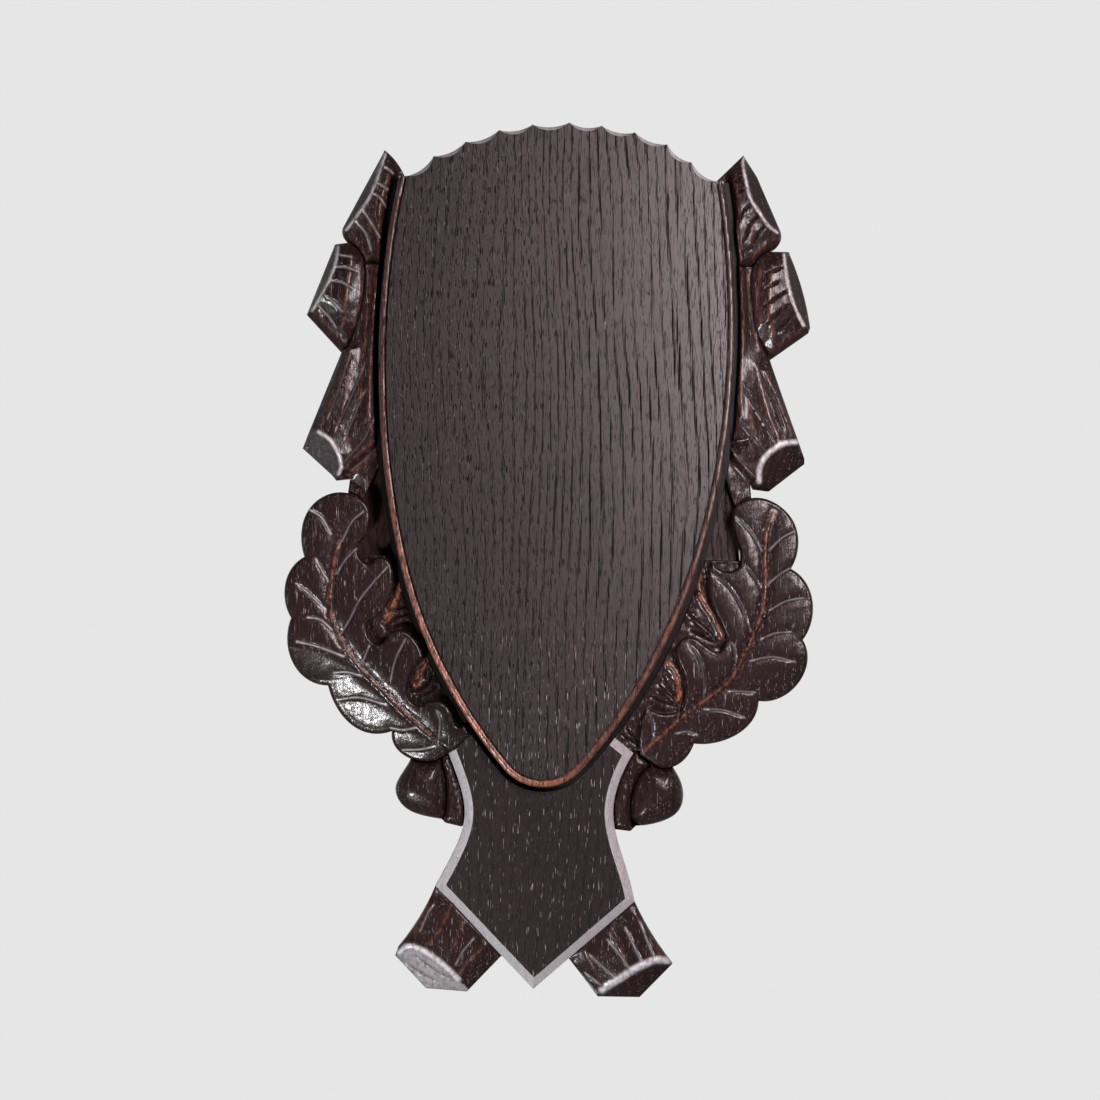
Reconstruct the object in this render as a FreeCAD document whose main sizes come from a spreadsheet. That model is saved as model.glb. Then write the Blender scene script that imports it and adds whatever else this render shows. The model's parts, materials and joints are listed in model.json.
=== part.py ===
"""Carved oak trophy shield that hangs on a wall and carries an antler or skull mount on its panel.

Frame: X to the right, Z up, the back plane at Y = 0 and the carved front facing -Y. The origin is the
centre of the hanger's keyhole on the back plane. Outlines are drawn in millimetres from the shield's
datum, a point on the panel's middle line, with the first number to the right and the second up; each one
is a list of legs from a start point, and stretches with the overall width and height.
"""

import FreeCAD, Part
import math
import os

from FreeCAD import Placement, Rotation, Vector
import Sketcher

doc = FreeCAD.newDocument("TrophyShield")

# ---------------------------------------------------------------- driving dimensions
DIMENSIONS = [
    ("overall_width", 302, "widest part of the two oak leaves"),
    ("overall_height", 500, "crown of the panel to the lowest foot stub"),
    ("board_thickness", 12, "back board"),
    ("centre_stave_width", 60, "middle stave of the back board"),
    ("panel_height", 22, "panel face above the back board"),
    ("panel_joint_x", 70, "glue line between the panel's two staves, from the datum"),
    ("bead_width", 4.6, "bead along the panel's sides"),
    ("bead_height", 20.5, "top of the bead above the back board"),
    ("bead_round", 2.1, "rounding of the bead's two arrises"),
    ("groove_width", 3, "groove outside the bead"),
    ("flange_height", 8, "floor of that groove above the back board"),
    ("scallop_sag_back", 2, "depth of a scallop behind its bevel"),
    ("scallop_sag_face", 4, "depth of a scallop on the panel's face"),
    ("scallop_bevel", 3, "depth of the bevel, front to back"),
    ("tail_height", 12, "tail board above the back board"),
    ("tail_bevel", 5, "bevel around the tail board"),
    ("leaf_height", 16, "oak leaves above the back board"),
    ("leaf_round", 130, "radius of the leaves' crowned front"),
    ("under_leaf_height", 8, "under leaves above the back board"),
    ("branch_height", 18, "branches above the back board"),
    ("branch_round", 38, "radius of the branches' crowned front"),
    ("cut_rim", 4, "height of a sawn end's rim above the back board"),
    ("cut_setback", 7, "slope of a sawn end, measured in plan"),
    ("acorn_height", 14, "acorns above the back board"),
    ("acorn_round", 22, "radius of the acorns' domes"),
    ("twig_height", 8, "twigs above the back board"),
    ("foot_height", 10, "foot stubs above the back board"),
    ("foot_round", 60, "radius of the foot stubs' crowned front"),
    ("hanger_height", 185, "keyhole above the datum"),
    ("plate_width", 16, "hanger plate across"),
    ("plate_length", 44, "hanger plate up and down"),
    ("plate_thickness", 1.5, "hanger plate"),
    ("plate_clearance", 0.2, "gap all round the plate in its recess"),
    ("keyhole_radius", 4.5, "entry hole of the keyhole"),
    ("keyhole_slot", 4.5, "width of the keyhole's slot"),
    ("keyhole_rise", 10, "entry hole to the top of the slot"),
    ("pocket_depth", 8, "room for the wall screw's head, from the back plane"),
    ("pocket_margin", 1.5, "pocket larger than the keyhole, all round"),
    ("plate_screw_inset", 5, "hanger screw to the plate's end"),
    ("plate_screw_radius", 1.5, "shank of a hanger screw"),
    ("plate_screw_length", 9, "hanger screw"),
    ("panel_screw_x", 50, "panel screws to either side of the middle"),
    ("panel_screw_top", -30, "upper panel screws, from the keyhole"),
    ("panel_screw_gap", 140, "upper to lower panel screws"),
    ("panel_screw_radius", 2.2, "shank of a panel screw"),
    ("panel_screw_length", 26, "panel screw"),
    ("countersink_angle", 90, "screw heads"),
    ("driver_slot_width", 1.2, "slot across each screw head"),
    ("driver_slot_depth", 0.9, "slot across each screw head"),
]

dims = doc.addObject("Spreadsheet::Sheet", "dims")
for row, (alias, value, meaning) in enumerate(DIMENSIONS, start=1):
    dims.set(f"A{row}", meaning)
    dims.set(f"B{row}", str(value))
    dims.setAlias(f"B{row}", alias)
doc.recompute()


def size(alias):
    return float(dims.get(alias))


DRAWN_WIDTH = 302
DRAWN_HEIGHT = 500
stretch_x = size("overall_width") / DRAWN_WIDTH
stretch_z = size("overall_height") / DRAWN_HEIGHT
datum_z = -size("hanger_height") * stretch_z
FRONT = Vector(0, -1, 0)
UPRIGHT = Rotation(Vector(1, 0, 0), 90)
BOARD_FRONT = "-dims.board_thickness"
MOST_ROUND = 0.46  # of the bead's width, so that a flat is left along its top
MOST_BEVEL = 0.9  # of the tail board's thickness, so that an edge is left below the bevel

# ---------------------------------------------------------------- outlines
# A leg of one point is straight, of two points an arc through the first to the second, of more points a
# smooth curve through all of them.
PANEL_SIDES = [
    [(-85, 218)],
    [(-93.5, 158), (-94.5, 96)],
    [(-90.5, 49.5), (-80, -4.5)],
    [(-68.5, -38.5), (-51.5, -72.5)],
    [(-37, -95), (-20.5, -116)],
    [(-2, -124.5), (17, -116)],
    [(33, -96), (49.5, -70.5)],
    [(65, -40.5), (79.5, -3)],
    [(92, 48), (98, 98.5)],
    [(98, 161), (91, 218)],
    [(91, 270)],
    [(-85, 270)],
]
TAIL = [
    [(-40, -85)],
    [(-57, -108)],
    [(-50, -126), (-46, -146), (-51, -165), (-62, -187)],
    [(-5, -245)],
    [(52, -194)],
    [(42, -160), (39, -143), (42, -126), (50, -109)],
    [(36, -98)],
    [(30, -85)],
]
LEFT = {
    "upper_stub": [
        [(-98.5, 233.5)],
        [(-91, 226), (-86, 217)],
        [(-80, 190)],
        [(-88, 168)],
        [(-108, 168)],
        [(-118, 180)],
        [(-121.5, 184), (-121.5, 189)],
    ],
    "middle_stub": [
        [(-126, 179)],
        [(-118, 180)],
        [(-111, 174), (-108, 164)],
        [(-109, 150), (-112, 135), (-117, 121)],
        [(-121.5, 117.5)],
        [(-141.5, 138.5)],
    ],
    "trunk": [
        [(-106, 180)],
        [(-85, 168)],
        [(-80, 0)],
        [(-111, 0)],
        [(-116, 37)],
        [(-115, 45)],
        [(-123, 44)],
        [(-125.5, 47)],
        [(-142.5, 62)],
        [(-130, 94), (-120, 120)],
        [(-118, 127)],
    ],
    "oak_leaf": [
        [(-117, 37)],
        [(-129, 35), (-138, 27), (-142, 14), (-140, 0)],
        [(-149, -10), (-151, -23), (-147, -35)],
        [(-149, -48), (-143.5, -64.5), (-125.5, -73.5)],
        [(-122.5, -82), (-111.5, -96), (-88.5, -99)],
        [(-87, -107), (-79, -114), (-62, -115)],
        [(-51, -108)],
        [(-38, -95)],
        [(-46, -93)],
        [(-51, -95), (-54, -88), (-62, -81), (-72, -84)],
        [(-78, -81), (-79, -69), (-71, -57)],
        [(-75, -47), (-83, -41), (-92, -44)],
        [(-98, -49), (-103, -43), (-99, -34)],
        [(-91, -24), (-89, -11), (-92, -1), (-99, 0)],
        [(-104, -3), (-109, 2), (-106, 11)],
        [(-103, 20), (-104, 29), (-110, 35), (-117, 37)],
    ],
    "under_leaf": [
        [(-114, 2)],
        [(-80, 2)],
        [(-38, -80)],
        [(-38, -92)],
        [(-56, -98)],
        [(-84, -88)],
        [(-108, -55)],
        [(-114, -20)],
    ],
    "acorn": [
        [(-76, -108)],
        [(-83, -124), (-86, -132), (-82, -141), (-70, -147), (-58, -149)],
        [(-57, -130), (-63, -108)],
    ],
    "twig": [
        [(-66, -110)],
        [(-62, -130)],
        [(-62, -146)],
        [(-57, -151)],
        [(-48, -153)],
        [(-38, -148)],
        [(-48, -104)],
    ],
    "foot_stub": [
        [(-62, -187)],
        [(-71.5, -206.5), (-83, -223)],
        [(-84.5, -227.5)],
        [(-66.5, -246)],
        [(-43, -247.5)],
        [(-24, -227)],
        [(-10, -215)],
    ],
}
RIGHT = {
    "upper_stub": [
        [(92, 219)],
        [(107, 234)],
        [(115, 222)],
        [(129, 191)],
        [(129, 185), (124, 180)],
        [(113, 170)],
        [(92, 170)],
        [(86, 195)],
    ],
    "middle_stub": [
        [(122, 179)],
        [(134, 179)],
        [(142, 158), (147, 136)],
        [(146, 133)],
        [(124, 117)],
        [(116, 134), (113, 151), (114, 171), (122, 179)],
    ],
    "trunk": [
        [(116, 172)],
        [(88, 170)],
        [(88, 2)],
        [(109, 2)],
        [(107, 25)],
        [(115, 37)],
        [(114, 47)],
        [(116, 43)],
        [(125, 42)],
        [(145, 58)],
        [(145, 61)],
        [(134, 90), (124, 117)],
        [(124, 135)],
    ],
    "oak_leaf": [
        [(109, 36)],
        [(121, 38), (132, 33), (140, 23), (142, 12), (138, -2)],
        [(148, -12), (151, -27), (145.5, -42.5)],
        [(148.5, -53), (143, -68), (121, -78)],
        [(118, -88.5), (106, -99), (84.5, -103)],
        [(81, -110), (74, -116), (63, -116)],
        [(54, -110)],
        [(53, -100), (57, -82)],
        [(66, -86), (77, -84)],
        [(79, -75), (78, -64), (73, -51), (77, -43)],
        [(85, -43), (96, -50), (102, -42)],
        [(97, -31), (92, -19), (91, -6), (93, 2)],
        [(101, -4), (109, -1)],
        [(109, 8), (105, 20), (104, 30), (109, 36)],
    ],
    "under_leaf": [
        [(116, 2)],
        [(86, 2)],
        [(40, -80)],
        [(26, -92)],
        [(36, -98)],
        [(46, -108)],
        [(58, -108)],
        [(84, -92)],
        [(108, -55)],
        [(116, -20)],
    ],
    "acorn": [
        [(58, -113)],
        [(70, -113)],
        [(77, -124), (79, -131), (77, -141), (67, -148), (50, -151)],
        [(49, -140), (51, -128), (60, -116)],
    ],
    "twig": [
        [(48, -106)],
        [(62, -112)],
        [(60, -130)],
        [(56, -147)],
        [(49, -154)],
        [(40, -153)],
        [(30, -146)],
    ],
    "foot_stub": [
        [(52, -194)],
        [(61.5, -211.5), (74.5, -229.5)],
        [(56, -249)],
        [(32, -249)],
        [(14, -226)],
        [(0, -216)],
    ],
}
SIDES = {"left": LEFT, "right": RIGHT}
CUSPS = [(-85, 218), (-70, 229.5), (-52, 238), (-33, 245), (-14, 248.5), (7, 250), (25.5, 248.5),
         (44.5, 245), (63, 238.5), (77, 228.5), (91, 218)]

# Each crowned piece has a middle line, and each sawn end the two corners of its lowest edge.
MIDDLE_LINES = {
    "left_upper_stub": ((-110, 210), (-85, 190)),
    "left_middle_stub": ((-133, 160), (-105, 140)),
    "left_trunk": ((-133, 55), (-103, 120)),
    "left_oak_leaf": ((-125, 10), (-80, -90)),
    "left_foot_stub": ((-75, -236), (-40, -200)),
    "right_upper_stub": ((118, 213), (90, 195)),
    "right_middle_stub": ((141, 157), (110, 140)),
    "right_trunk": ((133, 52), (106, 120)),
    "right_oak_leaf": ((125, 10), (78, -90)),
    "right_foot_stub": ((65, -240), (30, -205)),
}
SAWN_ENDS = {
    "left_upper_stub": ((-98, 233), (-121, 189)),
    "left_middle_stub": ((-126, 179), (-141, 140)),
    "left_trunk": ((-142, 63), (-125, 48)),
    "left_foot_stub": ((-84, -227), (-66, -245)),
    "right_upper_stub": ((107, 234), (129, 191)),
    "right_middle_stub": ((134, 179), (147, 136)),
    "right_trunk": ((145, 60), (125, 42)),
    "right_foot_stub": ((74, -230), (56, -249)),
}
ACORN_CENTRES = {"left_acorn": (-71, -132), "right_acorn": (64, -132)}


# ---------------------------------------------------------------- helpers
def plan(point):
    """A drawn point in the shield's own plan, which lies upright in the XZ plane."""
    return Vector(point[0] * stretch_x, point[1] * stretch_z + datum_z, 0)


def in_space(point):
    flat = plan(point)
    return Vector(flat.x, 0, flat.y)


def leg_edge(start, leg):
    points = [plan(p) for p in leg]
    if len(points) == 1:
        return Part.LineSegment(start, points[0])
    if len(points) == 2:
        return Part.Arc(start, points[0], points[1])
    curve = Part.BSplineCurve()
    curve.interpolate([start] + points)
    return curve


def join_corners(sketch, count):
    """Ties each piece of the outline to the next, whichever way round the piece is stored."""
    for index in range(count):
        following = (index + 1) % count
        pairs = [(mine, theirs) for mine in (1, 2) for theirs in (1, 2)]
        mine, theirs = min(pairs, key=lambda pair: (
            sketch.getPoint(index, pair[0]) - sketch.getPoint(following, pair[1])).Length)
        sketch.addConstraint(Sketcher.Constraint("Coincident", index, mine, following, theirs))


def outline(name, legs, depth=BOARD_FRONT):
    """A closed sketch standing upright at the given depth, its corners joined."""
    sketch = doc.addObject("Sketcher::SketchObject", name)
    start = plan(legs[0][0])
    closed = legs[1:] if legs[-1][-1] == legs[0][0] else legs[1:] + [legs[0]]
    for leg in closed:
        sketch.addGeometry(leg_edge(start, leg), False)
        start = plan(leg[-1])
    join_corners(sketch, len(closed))
    sketch.Placement = Placement(Vector(0, 0, 0), UPRIGHT)
    sketch.setExpression(".Placement.Base.y", depth)
    return sketch


def extrusion(name, base, forward="0", backward="0"):
    """A solid from an outline, towards the front and towards the back."""
    solid = doc.addObject("Part::Extrusion", name)
    solid.Base = base
    solid.DirMode = "Custom"
    solid.Dir = FRONT
    solid.Solid = True
    solid.setExpression("LengthFwd", forward)
    solid.setExpression("LengthRev", backward)
    return solid


def cut(name, base, *tools):
    """The base with each tool taken out of it in turn; the last step has the name given."""
    for number, tool in enumerate(tools, start=1):
        step = doc.addObject("Part::Cut", name if number == len(tools) else f"{name}_cut{number}")
        step.Base = base
        step.Tool = tool
        base = step
    return base


def common(name, first, second):
    both = doc.addObject("Part::Common", name)
    both.Base = first
    both.Tool = second
    return both


def fuse(name, shapes):
    whole = doc.addObject("Part::MultiFuse", name)
    whole.Shapes = shapes
    whole.Refine = True
    return whole


def box(name, width, depth, height, x, y, z):
    solid = doc.addObject("Part::Box", name)
    for field, value in (("Length", width), ("Width", depth), ("Height", height),
                         (".Placement.Base.x", x), (".Placement.Base.y", y), (".Placement.Base.z", z)):
        solid.setExpression(field, value)
    return solid


def front_edges(shape, depth):
    """Numbers of the edges that lie wholly in the plane at this depth, as the fillet tools want them."""
    flat = []
    for number, edge in enumerate(shape.Edges, start=1):
        bounds = edge.BoundBox
        if abs(bounds.YMin + depth) < 0.01 and abs(bounds.YMax + depth) < 0.01:
            flat.append(number)
    return flat


def crowned(name, body, radius, height):
    """The piece with its front rounded over, as a log is, about its middle line."""
    outer, inner = (in_space(p) for p in MIDDLE_LINES[name])
    along = (inner - outer).normalize()
    log = doc.addObject("Part::Cylinder", f"{name}_log")
    reach = size("overall_height")
    log.Placement = Placement(outer - along * reach / 2, Rotation(Vector(0, 0, 1), along))
    log.setExpression("Radius", f"dims.{radius}")
    log.Height = reach
    log.setExpression(".Placement.Base.y", f"-(dims.board_thickness + dims.{height} - dims.{radius})")
    return common(f"{name}_crowned", body, log)


def sawn_end(name, height):
    """A block whose underside is the sloping face of the sawn end, to be cut away."""
    first, second = (in_space(p) for p in SAWN_ENDS[name])
    outer, inner = (in_space(p) for p in MIDDLE_LINES[name])
    edge = (second - first).normalize()
    inward = FRONT.cross(edge)
    if inward.dot(inner - outer) < 0:
        first, edge, inward = second, edge * -1, inward * -1
    rise = size(height) - size("cut_rim")
    slope = (inward * size("cut_setback") + FRONT * rise).normalize()
    away = edge.cross(slope)
    if away.dot(inward) > 0:
        raise ValueError(f"{name}: the sawn end would face inwards")
    margin = 2 * size("panel_height")
    length = (in_space(SAWN_ENDS[name][1]) - in_space(SAWN_ENDS[name][0])).Length
    block = doc.addObject("Part::Box", f"{name}_saw_cut")
    block.Length = length + 2 * margin
    block.Width = 3 * margin
    block.Height = margin
    rim = FRONT * (size("board_thickness") + size("cut_rim"))
    corner = first + rim - edge * margin - slope * margin
    turn = FreeCAD.Matrix(edge.x, slope.x, away.x, corner.x,
                          edge.y, slope.y, away.y, corner.y,
                          edge.z, slope.z, away.z, corner.z)
    block.Placement = Placement(turn)
    return block


# ---------------------------------------------------------------- face panel
def crown_outline(name, sag, depth):
    """The scalloped top, each scallop hollowed by its sag between two cusps; wide and open below."""
    below = -2 * DRAWN_HEIGHT
    legs = [[(-DRAWN_WIDTH, below)], [(-DRAWN_WIDTH, CUSPS[0][1])], [CUSPS[0]]]
    for left, right in zip(CUSPS, CUSPS[1:]):
        run, rise = right[0] - left[0], right[1] - left[1]
        pitch = math.hypot(run, rise)
        hollow = ((left[0] + right[0]) / 2 + sag * rise / pitch, (left[1] + right[1]) / 2 - sag * run / pitch)
        legs.append([hollow, right])
    legs += [[(DRAWN_WIDTH, CUSPS[-1][1])], [(DRAWN_WIDTH, below)]]
    return outline(name, legs, depth)


def offset_outline(name, source, distance):
    ring = doc.addObject("Part::Offset2D", name)
    ring.Source = source
    ring.setExpression("Value", distance)
    ring.Join = "Intersection"
    return ring


below_bevel = "dims.board_thickness + dims.panel_height - dims.scallop_bevel"
crown_low = crown_outline("crown_low", size("scallop_sag_back"), f"-({below_bevel})")
crown_face = crown_outline("crown_face", size("scallop_sag_face"),
                           "-(dims.board_thickness + dims.panel_height)")
crown_column = extrusion("crown_column", crown_low, "0", below_bevel)
crown_room = extrusion("crown_room", crown_low, "2 * dims.panel_height", below_bevel)
crown_bevel = doc.addObject("Part::Loft", "crown_bevel")
crown_bevel.Sections = [crown_low, crown_face]
crown_bevel.Solid = True
crown_bevel.Ruled = True
crown = fuse("crown", [crown_column, crown_bevel])

face_edge = outline("face_edge", PANEL_SIDES)
bead_edge = offset_outline("bead_edge", face_edge, "dims.bead_width")
panel_edge = offset_outline("panel_edge", face_edge, "dims.bead_width + dims.groove_width")

panel_core = extrusion("panel_core", face_edge, "dims.panel_height")
panel_flange = extrusion("panel_flange", panel_edge, "dims.flange_height")
bead_blank = extrusion("bead_blank", bead_edge, "dims.bead_height")
bead_ring = cut("bead_ring", bead_blank, panel_core)
doc.recompute()
bead = doc.addObject("Part::Fillet", "bead")
bead.Base = bead_ring
bead_round = min(size("bead_round"), MOST_ROUND * size("bead_width"))
bead_top = size("board_thickness") + size("bead_height")
bead.Edges = [(number, bead_round, bead_round) for number in front_edges(bead_ring.Shape, bead_top)]

panel_blank = fuse("panel_blank", [panel_core, panel_flange, bead])
panel = common("panel", panel_blank, crown)
panel_room = common("panel_room", extrusion("panel_prism", panel_edge, "2 * dims.panel_height"), crown_room)
panel_ground = common("panel_ground",
                      extrusion("panel_footprint", panel_edge, "0", "dims.board_thickness"), crown_room)

right_of_joint = box("right_of_joint", "dims.overall_width", "4 * dims.panel_height",
                     "3 * dims.overall_height", "dims.panel_joint_x", "-4 * dims.panel_height",
                     "-2 * dims.overall_height")
panel_main_stave = cut("panel_main_stave", panel, right_of_joint)
panel_right_stave = common("panel_right_stave", panel, right_of_joint)

# ---------------------------------------------------------------- tail board
ground = [panel_ground]
room = {"panel": panel_room}


def carving(name, legs, height):
    """Outline, footprint on the back board, room for its neighbours to keep clear of, and plain body."""
    sketch = outline(f"{name}_outline", legs)
    ground.append(extrusion(f"{name}_footprint", sketch, "0", "dims.board_thickness"))
    room[name] = extrusion(f"{name}_room", sketch, "2 * dims.panel_height")
    return extrusion(f"{name}_body", sketch, f"dims.{height}")


tail_body = carving("tail", TAIL, "tail_height")
doc.recompute()
tail_bevelled = doc.addObject("Part::Chamfer", "tail_bevelled")
tail_bevelled.Base = tail_body
tail_top = size("board_thickness") + size("tail_height")
bevel = min(size("tail_bevel"), MOST_BEVEL * size("tail_height"))
tail_bevelled.Edges = [(number, bevel, bevel) for number in front_edges(tail_body.Shape, tail_top)]

# ---------------------------------------------------------------- carvings on each side
HEIGHTS = {"upper_stub": "branch_height", "middle_stub": "branch_height", "trunk": "branch_height",
           "oak_leaf": "leaf_height", "under_leaf": "under_leaf_height", "acorn": "acorn_height",
           "twig": "twig_height", "foot_stub": "foot_height"}
ROUNDS = {"upper_stub": "branch_round", "middle_stub": "branch_round", "trunk": "branch_round",
          "oak_leaf": "leaf_round", "foot_stub": "foot_round"}
# Which neighbours each kind of piece is fitted round, those that lie over it or were set first.
FITTED_ROUND = {
    "upper_stub": ["panel", "middle_stub"],
    "middle_stub": ["panel"],
    "trunk": ["panel", "upper_stub", "middle_stub", "oak_leaf", "under_leaf"],
    "acorn": ["oak_leaf", "tail"],
    "twig": ["panel", "tail", "oak_leaf", "under_leaf", "acorn"],
    "foot_stub": ["tail"],
    "under_leaf": ["panel", "tail"],
}

bodies = {}
for side, outlines in SIDES.items():
    for kind, legs in outlines.items():
        bodies[f"{side}_{kind}"] = carving(f"{side}_{kind}", legs, HEIGHTS[kind])

nodes = {"panel_right_stave": panel_right_stave}
nodes["tail_board"] = cut("tail_board", tail_bevelled, room["panel"], room["left_oak_leaf"],
                          room["right_oak_leaf"])


def neighbour(side, kind):
    return room[kind] if kind in room else room[f"{side}_{kind}"]


for side in SIDES:
    for kind, around in FITTED_ROUND.items():
        name = f"{side}_{kind}"
        solid = bodies[name]
        if kind in ROUNDS:
            solid = crowned(name, solid, ROUNDS[kind], HEIGHTS[kind])
        if name in SAWN_ENDS:
            solid = cut(f"{name}_sawn", solid, sawn_end(name, HEIGHTS[kind]))
        if name in ACORN_CENTRES:
            dome = doc.addObject("Part::Sphere", f"{name}_dome")
            dome.setExpression("Radius", "dims.acorn_round")
            dome.Placement = Placement(in_space(ACORN_CENTRES[name]), Rotation())
            dome.setExpression(".Placement.Base.y",
                               "-(dims.board_thickness + dims.acorn_height - dims.acorn_round)")
            solid = common(f"{name}_domed", solid, dome)
        nodes[name] = cut(name, solid, *[neighbour(side, other) for other in around])
    leaf = f"{side}_oak_leaf"
    crowned_leaf = crowned(leaf, bodies[leaf], ROUNDS["oak_leaf"], HEIGHTS["oak_leaf"])
    nodes[leaf] = cut(leaf, crowned_leaf, room["panel"], nodes[f"{side}_under_leaf"])


# ---------------------------------------------------------------- screws
def screw_profile(radius, length):
    """Half of a countersunk screw, from its head on the back plane to its point."""
    shank = size(radius)
    head = 2 * shank
    cone = (head - shank) / math.tan(math.radians(size("countersink_angle") / 2))
    reach = size(length)
    corners = [(0, 0), (head, 0), (shank, -cone), (shank, -reach + shank), (0, -reach)]
    return [Vector(x, y, 0) for x, y in corners]


def screws(name, radius, length, first_x, first_z, down, across=None):
    """Screws in one or two columns, heads flush with the back; the first is the upper left one."""
    body = doc.addObject("PartDesign::Body", name)
    body.AllowCompound = True
    origin = {feature.Role: feature for feature in body.Origin.OriginFeatures}
    profile = body.newObject("Sketcher::SketchObject", f"{name}_profile")
    profile.AttachmentSupport = [(origin["XY_Plane"], "")]
    profile.MapMode = "FlatFace"
    corners = screw_profile(radius, length)
    for here, there in zip(corners, corners[1:] + corners[:1]):
        profile.addGeometry(Part.LineSegment(here, there), False)
    join_corners(profile, len(corners))
    turned = body.newObject("PartDesign::Revolution", f"{name}_turned")
    turned.Profile = profile
    turned.ReferenceAxis = (profile, ["V_Axis"])
    turned.Angle = 360
    across_head, half_width = 1.2 * 2 * size(radius), size("driver_slot_width") / 2
    ends = [Vector(-across_head, -half_width, 0), Vector(across_head, -half_width, 0),
            Vector(across_head, half_width, 0), Vector(-across_head, half_width, 0)]
    slot_sketch = body.newObject("Sketcher::SketchObject", f"{name}_slot_sketch")
    slot_sketch.AttachmentSupport = [(origin["XZ_Plane"], "")]
    slot_sketch.MapMode = "FlatFace"
    for here, there in zip(ends, ends[1:] + ends[:1]):
        slot_sketch.addGeometry(Part.LineSegment(here, there), False)
    join_corners(slot_sketch, len(ends))
    slot = body.newObject("PartDesign::Pocket", f"{name}_slot")
    slot.Profile = slot_sketch
    slot.Midplane = True
    slot.setExpression("Length", "2 * dims.driver_slot_depth")
    rows = body.newObject("PartDesign::LinearPattern", f"{name}_rows")
    rows.Originals = [turned, slot]
    rows.Direction = (origin["Z_Axis"], [""])
    rows.Reversed = True
    rows.setExpression("Length", down)
    rows.Occurrences = 2
    if across:
        rows.Direction2 = (origin["X_Axis"], [""])
        rows.setExpression("Length2", across)
        rows.Occurrences2 = 2
    body.Tip = rows
    body.setExpression(".Placement.Base.x", first_x)
    body.setExpression(".Placement.Base.z", first_z)
    return body


def screw_hole(name, radius, length, x, z):
    """The shape of one screw as a cutting tool, so that every hole is exactly as its screw."""
    corners = screw_profile(radius, length)
    half = Part.Face(Part.makePolygon(corners + corners[:1]))
    hole = doc.addObject("Part::Feature", name)
    hole.Shape = half.revolve(Vector(0, 0, 0), Vector(0, 1, 0), 360)
    hole.Placement = Placement(Vector(x, 0, z), Rotation())
    return hole


plate_screw_span = "(dims.plate_length - 2 * dims.plate_screw_inset)"
plate_middle = "dims.keyhole_rise / 2"
nodes["hanger_screws"] = screws("hanger_screws", "plate_screw_radius", "plate_screw_length",
                                "0", f"{plate_middle} + {plate_screw_span} / 2", plate_screw_span)
nodes["panel_screws"] = screws("panel_screws", "panel_screw_radius", "panel_screw_length",
                               "-dims.panel_screw_x", "dims.panel_screw_top", "dims.panel_screw_gap",
                               "2 * dims.panel_screw_x")

middle = size("keyhole_rise") / 2
half_span = size("plate_length") / 2 - size("plate_screw_inset")
plate_holes = [screw_hole(f"plate_screw_hole{number}", "plate_screw_radius", "plate_screw_length", 0, z)
               for number, z in enumerate((middle + half_span, middle - half_span), start=1)]
panel_holes = []
for x in (-size("panel_screw_x"), size("panel_screw_x")):
    for z in (size("panel_screw_top"), size("panel_screw_top") - size("panel_screw_gap")):
        number = len(panel_holes) + 1
        panel_holes.append(screw_hole(f"panel_screw_hole{number}", "panel_screw_radius",
                                      "panel_screw_length", x, z))
panel_hole_set = fuse("panel_hole_set", panel_holes)

# ---------------------------------------------------------------- hanger plate
plate_body = doc.addObject("PartDesign::Body", "hanger_plate_body")
origin = {feature.Role: feature for feature in plate_body.Origin.OriginFeatures}
plate_sketch = plate_body.newObject("Sketcher::SketchObject", "plate_sketch")
plate_sketch.AttachmentSupport = [(origin["XZ_Plane"], "")]
plate_sketch.MapMode = "FlatFace"
half_width = size("plate_width") / 2
half_length = size("plate_length") / 2
flat = half_length - half_width
plate_ends = [
    Part.LineSegment(Vector(-half_width, middle - flat, 0), Vector(-half_width, middle + flat, 0)),
    Part.Arc(Vector(-half_width, middle + flat, 0), Vector(0, middle + half_length, 0),
             Vector(half_width, middle + flat, 0)),
    Part.LineSegment(Vector(half_width, middle + flat, 0), Vector(half_width, middle - flat, 0)),
    Part.Arc(Vector(half_width, middle - flat, 0), Vector(0, middle - half_length, 0),
             Vector(-half_width, middle - flat, 0)),
]
for edge in plate_ends:
    plate_sketch.addGeometry(edge, False)
plate_pad = plate_body.newObject("PartDesign::Pad", "plate_pad")
plate_pad.Profile = plate_sketch
plate_pad.setExpression("Length", "dims.plate_thickness")
doc.recompute()
if plate_pad.Shape.BoundBox.YMin > -size("plate_thickness") / 2:
    plate_pad.Reversed = True
plate_body.Tip = plate_pad


def keyhole(name, margin, depth):
    """Entry hole and slot as a cutting tool, larger all round by the margin and as deep as given."""
    entry = doc.addObject("Part::Cylinder", f"{name}_entry")
    slot_top = doc.addObject("Part::Cylinder", f"{name}_slot_top")
    for hole, radius, z in ((entry, "dims.keyhole_radius", "0"),
                            (slot_top, "dims.keyhole_slot / 2", "dims.keyhole_rise")):
        hole.Placement = Placement(Vector(0, 0, 0), UPRIGHT)
        hole.setExpression("Radius", f"{radius} + {margin}")
        hole.setExpression("Height", depth)
        hole.setExpression(".Placement.Base.z", z)
    slot = box(f"{name}_slot", f"dims.keyhole_slot + 2 * {margin}", depth, "dims.keyhole_rise",
               f"-dims.keyhole_slot / 2 - {margin}", f"-({depth})", "0")
    return fuse(name, [entry, slot_top, slot])


plate_keyhole = keyhole("plate_keyhole", "0", "dims.plate_thickness")
nodes["hanger_plate"] = cut("hanger_plate", plate_body, plate_keyhole, *plate_holes)

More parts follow.
